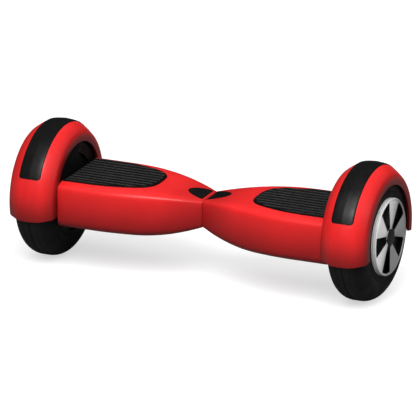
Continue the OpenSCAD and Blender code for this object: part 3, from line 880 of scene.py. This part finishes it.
@dataclass
class PadPlan:
    """Plan of the foot pad: a blunt nose and straight sides."""

    nose: float = 0.067
    half: float = 0.0485
    reach: float = 0.085
    end: float = 0.1822
    power: float = 0.3

    def half_at(self, x: np.ndarray, grow: float = 0.0) -> np.ndarray:
        """Half width at x: the full one times (1 - (1 - u) squared) to a power, u running from 0 to 1."""
        u = np.clip((x - self.nose + grow) / self.reach, 0, 1)
        return (self.half + grow) * (1 - (1 - u) ** 2) ** self.power

    def nose_at(self, y: np.ndarray, grow: float = 0.0) -> np.ndarray:
        """The x at which the outline has the half width y, from the same formula solved for x."""
        share = np.clip(np.abs(y) / (self.half + grow), 0, 1) ** (1 / self.power)
        return self.nose - grow + self.reach * (1 - np.sqrt(1 - share))

    def plan_grid(self, grow: float, nose_rows: int, side_rows: int,
                  columns: int) -> tuple[np.ndarray, np.ndarray]:
        """Grid over the plan, closer together towards the nose and the edges.

        Args:
            grow: distance by which the outline grows.
            nose_rows: rows along the nose.
            side_rows: rows along the straight sides.
            columns: points across.

        Returns:
            X and Y of the grid.
        """
        nose = self.nose - grow + self.reach * np.linspace(0, 1, nose_rows) ** 2.4
        sides = np.linspace(nose[-1], self.end + grow, side_rows + 1)[1:]
        x = np.concatenate([nose, sides])[:, None]
        across = np.sin(np.linspace(-1, 1, columns) * np.pi / 2)[None, :]
        return np.broadcast_to(x, (len(x), columns)), self.half_at(x, grow) * across

    def inset(self, x: np.ndarray, y: np.ndarray, grow: float = 0.0) -> np.ndarray:
        """Distance in from the outline, as the least of the distances along X and along Y."""
        side = self.half_at(x, grow) - np.abs(y)
        return np.minimum(np.minimum(side, x - self.nose_at(y, grow)), self.end + grow - x)


@dataclass
class WindowPlan:
    """Plan of the status window: half an ellipse beside the seam."""

    start: float = 0.0025
    reach: float = 0.029
    half: float = 0.0185

    def grid(self, inset: float, rows: int, columns: int) -> tuple[np.ndarray, np.ndarray]:
        """Grid over the plan: each column runs from the straight edge to the ellipse.

        Args:
            inset: distance in from the outline.
            rows: points along X.
            columns: points across.

        Returns:
            X and Y of the grid.
        """
        start, reach, half = self.start + inset, self.reach - inset, self.half - inset
        limit = half * math.sqrt(1 - (start / reach) ** 2)
        y = limit * np.sin(np.linspace(-1, 1, columns) * np.pi / 2)[None, :]
        far = np.maximum(reach * np.sqrt(1 - (y / half) ** 2), start)
        share = np.sin(np.linspace(0, 1, rows) * np.pi / 2)[:, None]
        return start + share * (far - start), np.broadcast_to(y, (rows, columns))


@dataclass
class BodyHalf:
    """Upper and lower moulded shells of one half.

    The splits are the section angles of the parting line, in degrees below the middle height, and
    the corner is the range of section angles, in radians, that holds the deck's edge. The port and
    the button are each given as X and radius, and the screws as X and Y.
    """

    side: Side
    outline: Outline = field(default_factory=Outline)
    pad: PadPlan = field(default_factory=PadPlan)
    window: WindowPlan = field(default_factory=WindowPlan)
    wall: float = 0.0025
    edge: float = 0.0005
    upper_split: float = 39.75
    lower_split: float = 40.15
    corner: tuple[float, float] = (0.6, 0.98)
    pad_gap: float = 0.0008
    pad_floor: float = 0.1
    window_floor: float = 0.09
    port: tuple[float, float] = (0.1, 0.0103)
    button: tuple[float, float] = (0.112, 0.0054)
    port_height: float = 0.082
    port_span: tuple[float, float] = (0.047, 0.08)
    screws: tuple[tuple[float, float], ...] = (
        (0.082, 0.034), (0.082, -0.034), (0.136, 0.038), (0.136, -0.038))
    head: float = 0.0034
    head_span: tuple[float, float] = (0.04, 0.054)
    shank: float = 0.0019
    shank_span: tuple[float, float] = (0.04, 0.066)
    stations: int = 104

    def column(self, name: str, place: tuple[float, float], radius: float, along: Axis,
               span: tuple[float, float]) -> Piece:
        """Round cutter along Y or Z.

        Args:
            name: name of the cutter.
            place: X of its line, and its Z or its Y.
            radius: its radius.
            along: axis that it runs along.
            span: where it starts and ends along its axis.

        Returns:
            The cutter.
        """
        t = np.linspace(0, 2 * np.pi, 48, endpoint=False)
        across, up = place[0] + radius * np.cos(t), place[1] + radius * np.sin(t)
        rings = []
        for end in span:
            level = np.full(t.shape, end)
            rings.append(np.stack([across, level, up] if along is Axis.Y else [across, up, level], axis=-1))
        return make_piece(name, prism(*rings), self.side)

    def plan_cutter(self, name: str, x: np.ndarray, y: np.ndarray, low: float) -> Piece:
        """Cutter that stands on a plan grid, from a height to well over the deck."""
        lower = np.stack([x, y, np.full(x.shape, low)], axis=-1)
        return make_piece(name, slab(lower + (0, 0, 0.05), lower), self.side)

    def shell(self, name: str, half: np.ndarray) -> Piece:
        """Closed wall between the outer skin and the inner face.

        Args:
            name: name of the piece without its side.
            half: section angles from one parting line to the middle of the deck or the belly.

        Returns:
            The shell, whose other side has the same angles mirrored about the middle.
        """
        angles = np.concatenate([half, (2 * half[-1] - half[:-1])[::-1]])[None, :]
        x = self.outline.stations(self.stations)
        solid = slab(self.outline.section(x, angles, 0), self.outline.section(x, angles, self.wall))
        return make_piece(self.side.name_of(name), solid, self.side)

    def build_top(self) -> Piece:
        """Upper shell, with its openings cut and its angles closer together round the deck's corner."""
        stops = [-math.radians(self.upper_split), 0, *self.corner, math.pi / 2]
        shell = self.shell("upper_shell", spread(stops, [20, 22, 38, 22]))
        hole, radius = self.port if self.side is Side.LEFT else self.button
        cut(
            shell,
            self.plan_cutter("pad_cutter", *self.pad.plan_grid(self.pad_gap, 40, 6, 9), self.pad_floor),
            self.plan_cutter("window_cutter", *self.window.grid(0, 9, 61), self.window_floor),
            self.column("hole_cutter", (hole, self.port_height), radius, Axis.Y, self.port_span),
        )
        bevel(shell, self.edge)
        return shell

    def build_bottom(self) -> Piece:
        """Lower shell, with stepped holes for its screws."""
        stops = [-math.radians(self.lower_split), -self.corner[1], -math.pi / 2]
        shell = self.shell("lower_shell", spread(stops, [26, 26]))
        steps = (("head_cutter", self.head, self.head_span), ("shank_cutter", self.shank, self.shank_span))
        cut(shell, *(self.column(name, place, radius, Axis.Z, span)
                     for name, radius, span in steps for place in self.screws))
        bevel(shell, self.edge)
        return shell

    def build(self) -> None:
        """Makes and fits both shells."""
        body = self.side.name_of("half")
        fit(self.build_top(), BODY_RED, body, self.side.name_of("top_shell"))
        fit(self.build_bottom(), BODY_RED, body, self.side.name_of("bottom_shell"))


@dataclass
class FootPad:
    """Ribbed rubber mat of one half."""

    side: Side
    plan: PadPlan = field(default_factory=PadPlan)
    base_top: float = 0.1163
    crest: float = 0.1175
    base_drop: float = 0.0038
    edge_round: float = 0.001
    edge_fall: float = 0.0009
    ribs: int = 11
    rib_half: float = 0.0022
    rib_round: float = 0.0021
    root: float = 0.0005
    first_rib: float = 0.003
    margin: float = 0.0015
    side_gap: float = 0.0002

    def base(self) -> Solid:
        """Flat mat whose upper edge is rounded."""
        x, y = self.plan.plan_grid(0.0, 46, 14, 63)
        rise = eased_edge(self.plan.inset(x, y), self.edge_round)
        upper = np.stack([x, y, self.base_top - self.edge_fall * (1 - rise)], axis=-1)
        return slab(upper, np.stack([x, y, np.full(x.shape, self.base_top - self.base_drop)], axis=-1))

    def rib(self, middle: float) -> Solid:
        """One rib along X: it follows the pad's nose at a margin, and its edges are rounded."""
        limit = self.plan.half - self.margin - self.side_gap
        across = self.rib_half * np.sin(np.linspace(-1, 1, 11) * np.pi / 2)
        y = np.clip(middle + across, -limit, limit)[None, :]
        start, end = self.plan.nose_at(y, -self.margin), self.plan.end - self.margin
        share = (1 - np.cos(np.linspace(0, 1, 30) * np.pi))[:, None] / 2
        x = start + (end - start) * share
        y = np.broadcast_to(y, x.shape)
        inset = np.minimum(np.minimum(y - y.min(), y.max() - y), np.minimum(x - start, end - x))
        rise = (self.crest - self.base_top + self.root) * eased_edge(inset, self.rib_round)
        upper = np.stack([x, y, self.base_top - self.root + rise], axis=-1)
        return slab(upper, np.stack([x, y, np.full(x.shape, self.base_top - 2 * self.root)], axis=-1))

    def build(self) -> None:
        """Makes and fits the pad."""
        edge = self.plan.half - self.first_rib
        solids = [self.rib(y) for y in np.linspace(-edge, edge, self.ribs)]
        pad = make_piece(self.side.name_of("ribbed_pad"), joined(self.base(), *solids), self.side, 50)
        fit(pad, PAD_RUBBER, self.side.name_of("pedal"), self.side.name_of("foot_pad"))


@dataclass
class StatusWindow:
    """Smoked window of one half, which follows the deck."""

    side: Side
    outline: Outline = field(default_factory=Outline)
    plan: WindowPlan = field(default_factory=WindowPlan)
    gap: float = 0.0002
    thickness: float = 0.0022
    edge_round: float = 0.0007
    edge_fall: float = 0.0006
    dome: float = 0.0003

    def build(self) -> None:
        """Makes and fits the window: the deck's skin raised by a low dome, with rounded edges."""
        x, y = self.plan.grid(self.gap, 34, 75)
        half = self.plan.half - self.gap
        inset = np.minimum(x - x.min(), (self.plan.reach - x) * 0.5 + (half - np.abs(y)) * 0.5)
        far = np.sqrt(np.clip((x / (self.plan.reach - self.gap)) ** 2 + (y / half) ** 2, 0, 1))
        inset = np.minimum(inset, (1 - far) * half)
        z = self.outline.skin_height(x, y)
        top = z - self.edge_fall * (1 - eased_edge(inset, self.edge_round)) + self.dome * (1 - far**2)
        solid = slab(np.stack([x, y, top], axis=-1), np.stack([x, y, z - self.thickness], axis=-1))
        window = make_piece(self.side.name_of("status_window"), solid, self.side, 50)
        fit(window, SMOKED_LENS, self.side.name_of("half"), self.side.name_of("window"))


@dataclass
class WheelArch:
    """Moulded arch over one wheel, with its rubber strip and its two screw lugs.

    The outer side of its section is given in millimetres, as offset from the wheel's middle and
    radius about the arch's centre line. The drop and the strip's start are in degrees.
    """

    side: Side
    middle: float = 0.2145
    centre: float = 0.086
    radius: float = 0.09
    drop: float = 12.0
    wall: float = 0.0022
    lip: float = 0.028
    skin: tuple[tuple[float, float], ...] = (
        (31.5, 64.5), (31.5, 72.5), (30.6, 76.0), (27.9, 79.3), (16.0, 87.6), (10.0, 89.2))
    side_top: float = 0.073
    shoulder: float = 0.08
    crown_share: float = 0.45
    shoulder_share: float = 0.6
    lug_place: float = 0.05616
    lug_half: tuple[float, float] = (0.0102, 0.008)
    lug_power: float = 5.0
    strip_start: float = 24.1
    strip_half: float = 0.0149
    strip_rise: float = 0.00065
    strip_sink: float = 0.001
    strip_corner: float = 0.0045
    strip_round: float = 0.0013
    strip_lead: float = 0.0003
    crowding: float = 0.9

    def half_skin(self) -> np.ndarray:
        """Outer side of the section from its lip to the crown, as offset from the middle and radius."""
        return rounded(np.array([*self.skin, (0.0, self.radius / MM)]) * MM, 4)

    def half_lining(self) -> np.ndarray:
        """Inner side of the section, with the mouth's lip turned in.

        It lies one wall in from the outer side: along X on the side, along the radius on the crown,
        and by a share of both on the shoulder between them.
        """
        points = np.array(self.skin) * MM
        steep, side = points[:, 1] < self.shoulder, points[:, 1] < self.side_top
        x = points[:, 0] - self.wall * np.where(steep, 1, self.crown_share)
        r = points[:, 1] - self.wall * np.where(side, 0, np.where(steep, self.shoulder_share, 1))
        mouth, inner = points[0, 1], points[0, 1] + self.wall
        turned_in = [(self.lip, inner), (points[0, 0] - self.wall, inner)]
        lining = [turned_in, np.stack([x, r], axis=-1)[1:], [(0.0, self.radius - self.wall)]]
        return np.concatenate([[(self.lip, mouth)], rounded(np.concatenate(lining), 3)])

    def section(self) -> np.ndarray:
        """Closed section: the skin from lip to lip, and back along the lining."""
        skin, lining = self.half_skin(), self.half_lining()
        flip = np.array([-1, 1])
        outer = np.concatenate([skin, (skin * flip)[-2::-1]])
        inner = np.concatenate([lining, (lining * flip)[-2::-1]])
        return np.concatenate([outer, inner[::-1]]) + (self.middle, 0)

    def lug(self, y: float) -> Solid:
        """Flat lug with rounded ends that takes one screw, between the arch and the body."""
        c, s = squircle(np.linspace(0, 2 * np.pi, 40, endpoint=False), self.lug_power)
        side = np.full(c.shape, self.middle - self.skin[0][0] * MM)
        face = np.stack([side, y + self.lug_half[0] * c, self.centre + self.lug_half[1] * s], axis=-1)
        return prism(face, face + (self.wall, 0, 0))

    def build_arch(self) -> Piece:
        """Arch: the section carried from one lower end over the wheel to the other."""
        angles = np.radians(np.linspace(-self.drop, 180 + self.drop, 169))
        arch = arc_sweep(self.section(), (0, self.centre), angles)
        solid = joined(arch, self.lug(-self.lug_place), self.lug(self.lug_place))
        piece = make_piece(self.side.name_of("arch"), solid, self.side, 40)
        bevel(piece, 0.0005, 60)
        return piece

    def build_strip(self) -> Piece:
        """Rubber strip on the crown, with rounded corners and edges.

        The half width falls near each end as a quarter circle of the corner's radius, and the
        surface stands over the arch's skin by the rise times the eased edge.
        """
        start, end = math.radians(self.strip_start), math.radians(180 - self.strip_start)
        share = np.linspace(0, 1, 121)
        share = share - np.sin(2 * np.pi * share) / (2 * np.pi) * self.crowding
        angle = (start + (end - start) * share)[:, None]
        along = self.radius * np.minimum(angle - start, end - angle)
        short = np.clip(self.strip_corner - along, 0, None)
        half = self.strip_half - self.strip_corner + np.sqrt(self.strip_corner**2 - short**2)
        u = half * np.sin(np.linspace(-1, 1, 41) * np.pi / 2)[None, :]
        inset = np.minimum(half - np.abs(u), along + self.strip_lead)
        skin = self.half_skin()[::-1]
        base = np.interp(np.abs(u), skin[:, 0], skin[:, 1])
        layers = []
        for radius in (base + self.strip_rise * eased_edge(inset, self.strip_round), base - self.strip_sink):
            y, z = radius * np.cos(angle), self.centre + radius * np.sin(angle)
            layers.append(np.stack([self.middle + u, y, z], axis=-1))
        return make_piece(self.side.name_of("strip"), slab(*layers), self.side, 50)

    def build(self) -> None:
        """Makes and fits the arch and its strip."""
        body = self.side.name_of("half")
        fit(self.build_arch(), ARCH_RED, body, self.side.name_of("wheel_arch"))
        fit(self.build_strip(), STRIP_RUBBER, body, self.side.name_of("bumper_strip"))


@dataclass
class Wheel:
    """Tyre, silver cover and cap of one wheel.

    The sectors are the dark openings between the spokes. Their turn is in degrees, and so are the
    half angles that they span at the hub and at the rim.
    """

    side: Side
    middle: float = 0.2145
    axle: float = 0.0845
    tyre_shift: float = 0.00075
    tyre_half: float = 0.02625
    shoulder: float = 0.022
    bead: float = 0.0498
    tread_half: float = 0.0165
    grooves: tuple[float, ...] = (-0.009, 0.0, 0.009)
    groove_half: float = 0.0009
    groove_depth: float = 0.001
    groove_wall: float = 0.0013
    ring: float = 0.0575
    ring_half: float = 0.0011
    ring_depth: float = 0.0006
    cover_back: float = 0.24
    cover_front: float = 0.2475
    cover_radius: float = 0.0494
    face_radius: float = 0.0469
    face_thickness: float = 0.0018
    spokes: int = 5
    spoke_crown: float = 0.0011
    crown_fade: tuple[float, float] = (0.006, 0.003)
    sector_turn: float = 38.0
    sector_half: tuple[float, float] = (22.0, 16.5)
    sector_end: float = 0.0464
    sector_round: float = 0.0016
    hub: float = 0.0115
    hole: float = 0.0081
    cap_sides: int = 5
    cap_apothem: float = 0.0103
    cap_power: int = 16
    cap_seat: float = 0.0006

    def tyre_outline(self) -> np.ndarray:
        """Closed section of the tyre, as x and radius.

        The crown is flat between two quarter circles, and each groove's wall rises with the eighth
        power of the distance from its middle. A shallow ring runs round each side wall.
        """
        flat = self.tyre_half - self.shoulder
        turn = np.linspace(0, 0.9, 22)
        edge = self.tyre_half - self.shoulder * (1 - np.cos(turn))
        x = np.concatenate([-edge, np.linspace(-self.tread_half, self.tread_half, 221), edge[::-1]])
        out = np.clip(np.abs(x) - flat, 0, self.shoulder)
        crown = self.axle - self.shoulder + np.sqrt(self.shoulder**2 - out**2)
        for groove in self.grooves:
            wall = self.groove_wall * (np.abs(x - groove) / self.groove_half) ** 8
            crown = np.minimum(crown, self.axle - self.groove_depth + wall)
        r = np.linspace(self.axle - self.shoulder, self.bead, 26)[1:]
        side = self.tyre_half - self.ring_depth * np.exp(-(((r - self.ring) / self.ring_half) ** 2))
        near, far = np.stack([side, r], axis=-1), np.stack([-side, r], axis=-1)
        outline = np.concatenate([np.stack([x, crown], axis=-1), near, far[::-1]])
        return outline + (self.middle + self.tyre_shift, 0)

    def build_tyre(self) -> Piece:
        """Tyre: its section turned about the axle."""
        solid = revolve(self.tyre_outline(), (0, self.axle), 224)
        return make_piece(self.side.name_of("solid_tyre"), solid, self.side, 45)

    def rim(self) -> Solid:
        """Rim ring of the cover: a thin wall with a rounded lip and three shallow steps."""
        back, front, radius = self.cover_back, self.cover_front, self.cover_radius
        wall = (
            (back, 2.2), (back, 0.6), (back + 0.6 * MM, 0.2), (back + 1.8 * MM, 0.2), (back + 2.0 * MM, 0.6),
            (back + 2.8 * MM, 0.6), (back + 3.0 * MM, 0.1), (back + 4.5 * MM, 0.1), (back + 4.7 * MM, 0.4))
        lip = (
            (front - 1.0 * MM, 0.0), (front - 0.3 * MM, 0.3), (front, 0.9), (front - 0.1 * MM, 1.8),
            (front - 0.7 * MM, 2.5), (front - 2.5 * MM, 2.6))
        outline = np.array([(x, radius - inset * MM) for x, inset in wall + lip])
        return revolve(rounded(outline, 2, closed=True), (0, self.axle), 192)

    def sector_edge(self, share: np.ndarray) -> tuple[np.ndarray, np.ndarray]:
        """Radius and half angle along a sector's straight edge, with its ends rounded."""
        start, end = (
            reach * np.array([math.cos(turn), math.sin(turn)])
            for reach, turn in zip((self.hub, self.sector_end), map(math.radians, self.sector_half))
        )
        place = start + share[:, None] * (end - start)
        radius, angle = np.hypot(place[:, 0], place[:, 1]), np.arctan2(place[:, 1], place[:, 0])
        gap = np.minimum(radius - radius[0], radius[-1] - radius)
        short = np.clip(self.sector_round - gap, 0, None)
        return radius, angle - (self.sector_round - np.sqrt(self.sector_round**2 - short**2)) / radius

    def build_cover(self) -> Piece:
        """Cover: hub disc, spokes and rim.

        The face is a polar grid whose columns follow the edges of the dark sectors, which are left
        out of it. Each spoke is crowned across its width, and the face gets its thickness after that.
        """
        share = (1 - np.cos(np.linspace(0, 1, 34) * np.pi)) / 2
        radius, half = self.sector_edge(share)
        hub_rows = 4
        hub_disc = np.linspace(self.hole, self.hub, hub_rows + 1)[:-1]
        radius = np.concatenate([hub_disc, radius, [self.face_radius]])
        half = np.concatenate([np.full(hub_rows, half[0]), half, half[-1:]])
        pitch = 2 * np.pi / self.spokes
        open_steps, spoke_steps = 10, 16
        inside = np.linspace(-1, 1, open_steps + 1)[:-1]
        across = np.linspace(-1, 1, spoke_steps + 1)[:-1]
        dark = half[:, None] * inside
        bright = pitch / 2 + (pitch / 2 - half[:, None]) * across
        one = np.concatenate([dark, bright], axis=1)
        crown = np.concatenate([np.zeros(open_steps), 1 - across**2])
        turns = np.arange(self.spokes) * pitch + math.radians(self.sector_turn)
        angle = (one[:, None, :] + turns[None, :, None]).reshape(len(radius), -1)
        rising = np.clip((radius - self.hub) / self.crown_fade[0], 0, 1)
        fade = rising * np.clip((self.face_radius - radius) / self.crown_fade[1], 0, 1)
        lift = self.spoke_crown * fade[:, None] * np.tile(crown, self.spokes)
        x = self.cover_front - self.spoke_crown + lift
        r = radius[:, None]
        points = np.stack([x, r * np.cos(angle), self.axle + r * np.sin(angle)], axis=-1).reshape(-1, 3)
        quads = grid_quads(len(radius), angle.shape[1], False, True)
        row, column = quads[:, 0] // angle.shape[1], quads[:, 0] % angle.shape[1]
        in_sector = column % (open_steps + spoke_steps) < open_steps
        kept = quads[~((row >= hub_rows) & (row < len(radius) - 2) & in_sector)]
        back = points - (self.face_thickness, 0, 0)
        edges = np.concatenate([kept[:, [k, (k + 1) % 4]] for k in range(4)])
        ordered = np.sort(edges, axis=1)
        _, first, count = np.unique(ordered, axis=0, return_index=True, return_counts=True)
        border = edges[first[count == 1]]
        size = len(points)
        walls = np.stack([border[:, 1], border[:, 0], border[:, 0] + size, border[:, 1] + size], axis=-1)
        used = np.concatenate([kept, kept[:, ::-1] + size, walls])
        keep, numbers = np.unique(used, return_inverse=True)
        face = (np.concatenate([points, back])[keep], numbers.reshape(used.shape).tolist())
        piece = make_piece(self.side.name_of("spoked_cover"), joined(face, self.rim()), self.side, 40)
        bevel(piece, 0.0003, 60)
        return piece

    def build_cap(self) -> Piece:
        """Five-sided cap with rounded corners.

        Its radius in a direction t is the apothem over the 16-norm of the positive parts of
        cos(t - side), taken over the five sides, and its face is a low dome.
        """
        steps = 160
        t = np.linspace(0, 2 * np.pi, steps, endpoint=False)
        first = math.radians(self.sector_turn + 180 / self.cap_sides)
        sides = first + np.arange(self.cap_sides) * 2 * np.pi / self.cap_sides
        facing = np.clip(np.cos(t[:, None] - sides[None, :]), 0, None)
        reach = self.cap_apothem / (facing**self.cap_power).sum(axis=1) ** (1 / self.cap_power)
        share = np.array([0, 0.2, 0.4, 0.6, 0.75, 0.86, 0.93, 0.97, 0.992, 1.0, 1.0, 0.6, 0.0])
        rise = np.array([20, 19.9, 19.6, 19.1, 18.5, 17.7, 16.6, 14.6, 11.5, 8, 1, 1, 1]) * 1e-4
        x = np.broadcast_to(self.cover_front - self.cap_seat + rise, (steps, len(share)))
        r = reach[:, None] * share
        y, z = r * np.cos(t)[:, None], self.axle + r * np.sin(t)[:, None]
        points = np.stack([x, y, z], axis=-1).reshape(-1, 3)
        solid = (points, grid_quads(steps, len(share), True, False).tolist())
        return make_piece(self.side.name_of("cap"), solid, self.side, 50)

    def build(self) -> None:
        """Makes and fits the tyre, the cover and the cap."""
        body = self.side.name_of("wheel")
        centre = (self.side.value * self.middle, 0.0, self.axle)
        fit(self.build_tyre(), TYRE, body, self.side.name_of("tyre"), centre=centre)
        fit(self.build_cover(), COVER_SILVER, body, self.side.name_of("wheel_cover"), centre=centre)
        fit(self.build_cap(), CAP_BLACK, body, self.side.name_of("hub_cap"), centre=centre)


@dataclass
class CarriedParts:
    """Nodes of the model that keep their shape and get a finish."""

    wheel_centre: tuple[float, float] = (0.2145, 0.0845)
    pivot_height: float = 0.088
    paired: dict[str, Finish] = field(default_factory=lambda: {
        "pedal_plate": INNER_PLASTIC, "status_board": CIRCUIT, "chassis": CAST, "axle_clamp": STEEL,
        "clamp_screws": SCREW_STEEL, "shell_screws": SCREW_STEEL, "gyro_board": CIRCUIT,
        "motor_cable": CABLE_SHEATH})
    turning: dict[str, Finish] = field(default_factory=lambda: {
        "axle": STEEL, "stator": STEEL, "windings": COPPER, "motor_casing": CASING_BLACK,
        "magnets": MAGNET, "motor_cover": CASING_BLACK, "wheel_bearings": STEEL})
    pivot: dict[str, Finish] = field(default_factory=lambda: {
        "pivot_tube": STEEL, "pivot_bushes": BRONZE, "retaining_ring": SCREW_STEEL,
        "link_cable": CABLE_SHEATH})
    single: dict[str, Finish] = field(default_factory=lambda: {
        "battery_pack": BATTERY_WRAP, "mainboard": CIRCUIT, "charging_socket": CAP_BLACK,
        "power_button": CAP_BLACK, "button_switch": INNER_PLASTIC})

    def dress_node(self, name: str, finish: Finish, centre: Point = (0.0, 0.0, 0.0)) -> None:
        """Gives one node of the model its finish."""
        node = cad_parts[name]
        dress(node, finish, centre)
        LOG.info("%s keeps its shape and gets %s", name, finish.name)

    def build(self) -> None:
        """Dresses every node that no new piece stands for."""
        for side in Side:
            for part, finish in self.paired.items():
                self.dress_node(side.name_of(part), finish)
            for part, finish in self.turning.items():
                centre = (side.value * self.wheel_centre[0], 0.0, self.wheel_centre[1])
                self.dress_node(side.name_of(part), finish, centre)
        for part, finish in self.pivot.items():
            self.dress_node(part, finish, (0.0, 0.0, self.pivot_height))
        for part, finish in self.single.items():
            self.dress_node(part, finish)


# ---------------------------------------------------------------- studio


@dataclass
class Studio:
    """Camera, soft lights and a pale floor."""

    azimuth: float = 24.0
    elevation: float = 18.85
    distance: float = 8.1
    lens: float = 549.0
    aim: Point = (0.0, 0.0, 0.086)
    light_distance: float = 2.0
    dulled: float = 0.93
    floor_half: float = 40.0
    floor_drop: float = 0.0004
    floor_pale: float = 0.6
    floor_dim: float = 0.22

    def direction(self, azimuth: float, elevation: float) -> Vector:
        """Unit vector from the board towards an azimuth, from -Y towards +X, and an elevation in degrees."""
        a, e = math.radians(azimuth), math.radians(elevation)
        return Vector((math.sin(a) * math.cos(e), -math.cos(a) * math.cos(e), math.sin(e)))

    def aimed(self, stand: Piece, azimuth: float, elevation: float, distance: float) -> None:
        """Adds a camera or a light to the scene, off the board and turned to look at it."""
        away = self.direction(azimuth, elevation)
        stand.location = Vector(self.aim) + away * distance
        stand.rotation_mode = "QUATERNION"
        stand.rotation_quaternion = (-away).to_track_quat("-Z", "Y")
        bpy.context.scene.collection.objects.link(stand)

    def camera(self) -> None:
        """Adds the camera and makes it the scene's."""
        data = bpy.data.cameras.new("camera")
        data.lens = self.lens
        data.sensor_width = 36.0
        data.clip_end = 200.0
        camera = bpy.data.objects.new("camera", data)
        self.aimed(camera, self.azimuth, self.elevation, self.distance)
        bpy.context.scene.camera = camera

    def softbox(self, name: str, azimuth: float, elevation: float, size: float, energy: float,
                gloss: bool = False) -> None:
        """Adds a square soft light that looks at the board.

        Args:
            name: name of the light.
            azimuth: where it stands, in degrees from -Y towards +X.
            elevation: its height over the horizon in degrees.
            size: side of the square.
            energy: its power in watts.
            gloss: whether it makes only highlights, in place of only soft light.
        """
        data = bpy.data.lights.new(name, "AREA")
        data.size = size
        data.energy = energy
        light = bpy.data.objects.new(name, data)
        light.visible_glossy = gloss
        light.visible_diffuse = not gloss
        self.aimed(light, azimuth, elevation, self.light_distance)

    def surroundings(self) -> None:
        """White backdrop for the camera, and for light a room that is bright overhead and dim low down."""
        world = bpy.data.worlds.new("room")
        tree = fresh_tree(world)
        direction = tree.add("ShaderNodeTexCoord").outputs["Generated"]
        up = tree.add("ShaderNodeSeparateXYZ", {0: direction}).outputs[2]
        path = tree.add("ShaderNodeLightPath")
        dull = tree.math("SUBTRACT", 1.0, tree.math("MULTIPLY", path.outputs["Is Glossy Ray"], self.dulled))
        strength = tree.math("MULTIPLY", tree.span(up, 0.0, 0.9, 0.12, 0.7), dull)
        room = tree.add("ShaderNodeBackground", {0: grey(1.0), 1: strength}).outputs[0]
        backdrop = tree.add("ShaderNodeBackground", {0: grey(1.0), 1: 1.0}).outputs[0]
        both = tree.add("ShaderNodeMixShader", {0: path.outputs["Is Camera Ray"], 1: room, 2: backdrop})
        tree.add("ShaderNodeOutputWorld", {0: both.outputs[0]})
        bpy.context.scene.world = world

    def floor(self) -> None:
        """Pale floor, which is clear from below so that the underside can be looked at."""
        mesh = bpy.data.meshes.new("floor")
        square = np.array([[-1, -1, 0], [1, -1, 0], [1, 1, 0], [-1, 1, 0]])
        corners = square * self.floor_half - (0, 0, self.floor_drop)
        mesh.from_pydata(corners.tolist(), [], [[0, 1, 2, 3]])
        floor = bpy.data.objects.new("floor", mesh)
        made = bpy.data.materials.new("floor")
        tree = fresh_tree(made)
        pale = tree.add("ShaderNodeBsdfDiffuse", {0: grey(self.floor_pale)})
        glow = tree.add("ShaderNodeEmission", {0: grey(1.0), 1: self.floor_pale})
        shown = tree.add("ShaderNodeAddShader", {0: pale.outputs[0], 1: glow.outputs[0]})
        dim = tree.add("ShaderNodeBsdfDiffuse", {0: grey(self.floor_dim)})
        seen = tree.add("ShaderNodeLightPath").outputs["Is Camera Ray"]
        top = tree.add("ShaderNodeMixShader", {0: seen, 1: dim.outputs[0], 2: shown.outputs[0]})
        clear = tree.add("ShaderNodeBsdfTransparent")
        below = tree.add("ShaderNodeNewGeometry").outputs["Backfacing"]
        both = tree.add("ShaderNodeMixShader", {0: below, 1: top.outputs[0], 2: clear.outputs[0]})
        tree.add("ShaderNodeOutputMaterial", {0: both.outputs[0]})
        mesh.materials.append(made)
        bpy.context.scene.collection.objects.link(floor)

    def build(self) -> None:
        """Sets up the whole studio."""
        self.camera()
        self.surroundings()
        self.floor()
        self.softbox("key", 12.0, 52.0, 1.3, 32.0)
        self.softbox("side", 80.0, 24.0, 0.9, 10.0)
        self.softbox("sheen", 14.0, 50.0, 0.8, 17.0, gloss=True)
        bpy.context.scene.view_settings.view_transform = "Standard"
        bpy.context.scene.view_settings.look = "None"


def main() -> None:
    """Builds the studio, both halves and the finishes of the carried parts."""
    logging.basicConfig(level=logging.INFO, format="%(message)s")
    Studio().build()
    for side in Side:
        for assembly in (BodyHalf(side), FootPad(side), StatusWindow(side), WheelArch(side), Wheel(side)):
            assembly.build()
    CarriedParts().build()


if __name__ == "__main__":
    main()
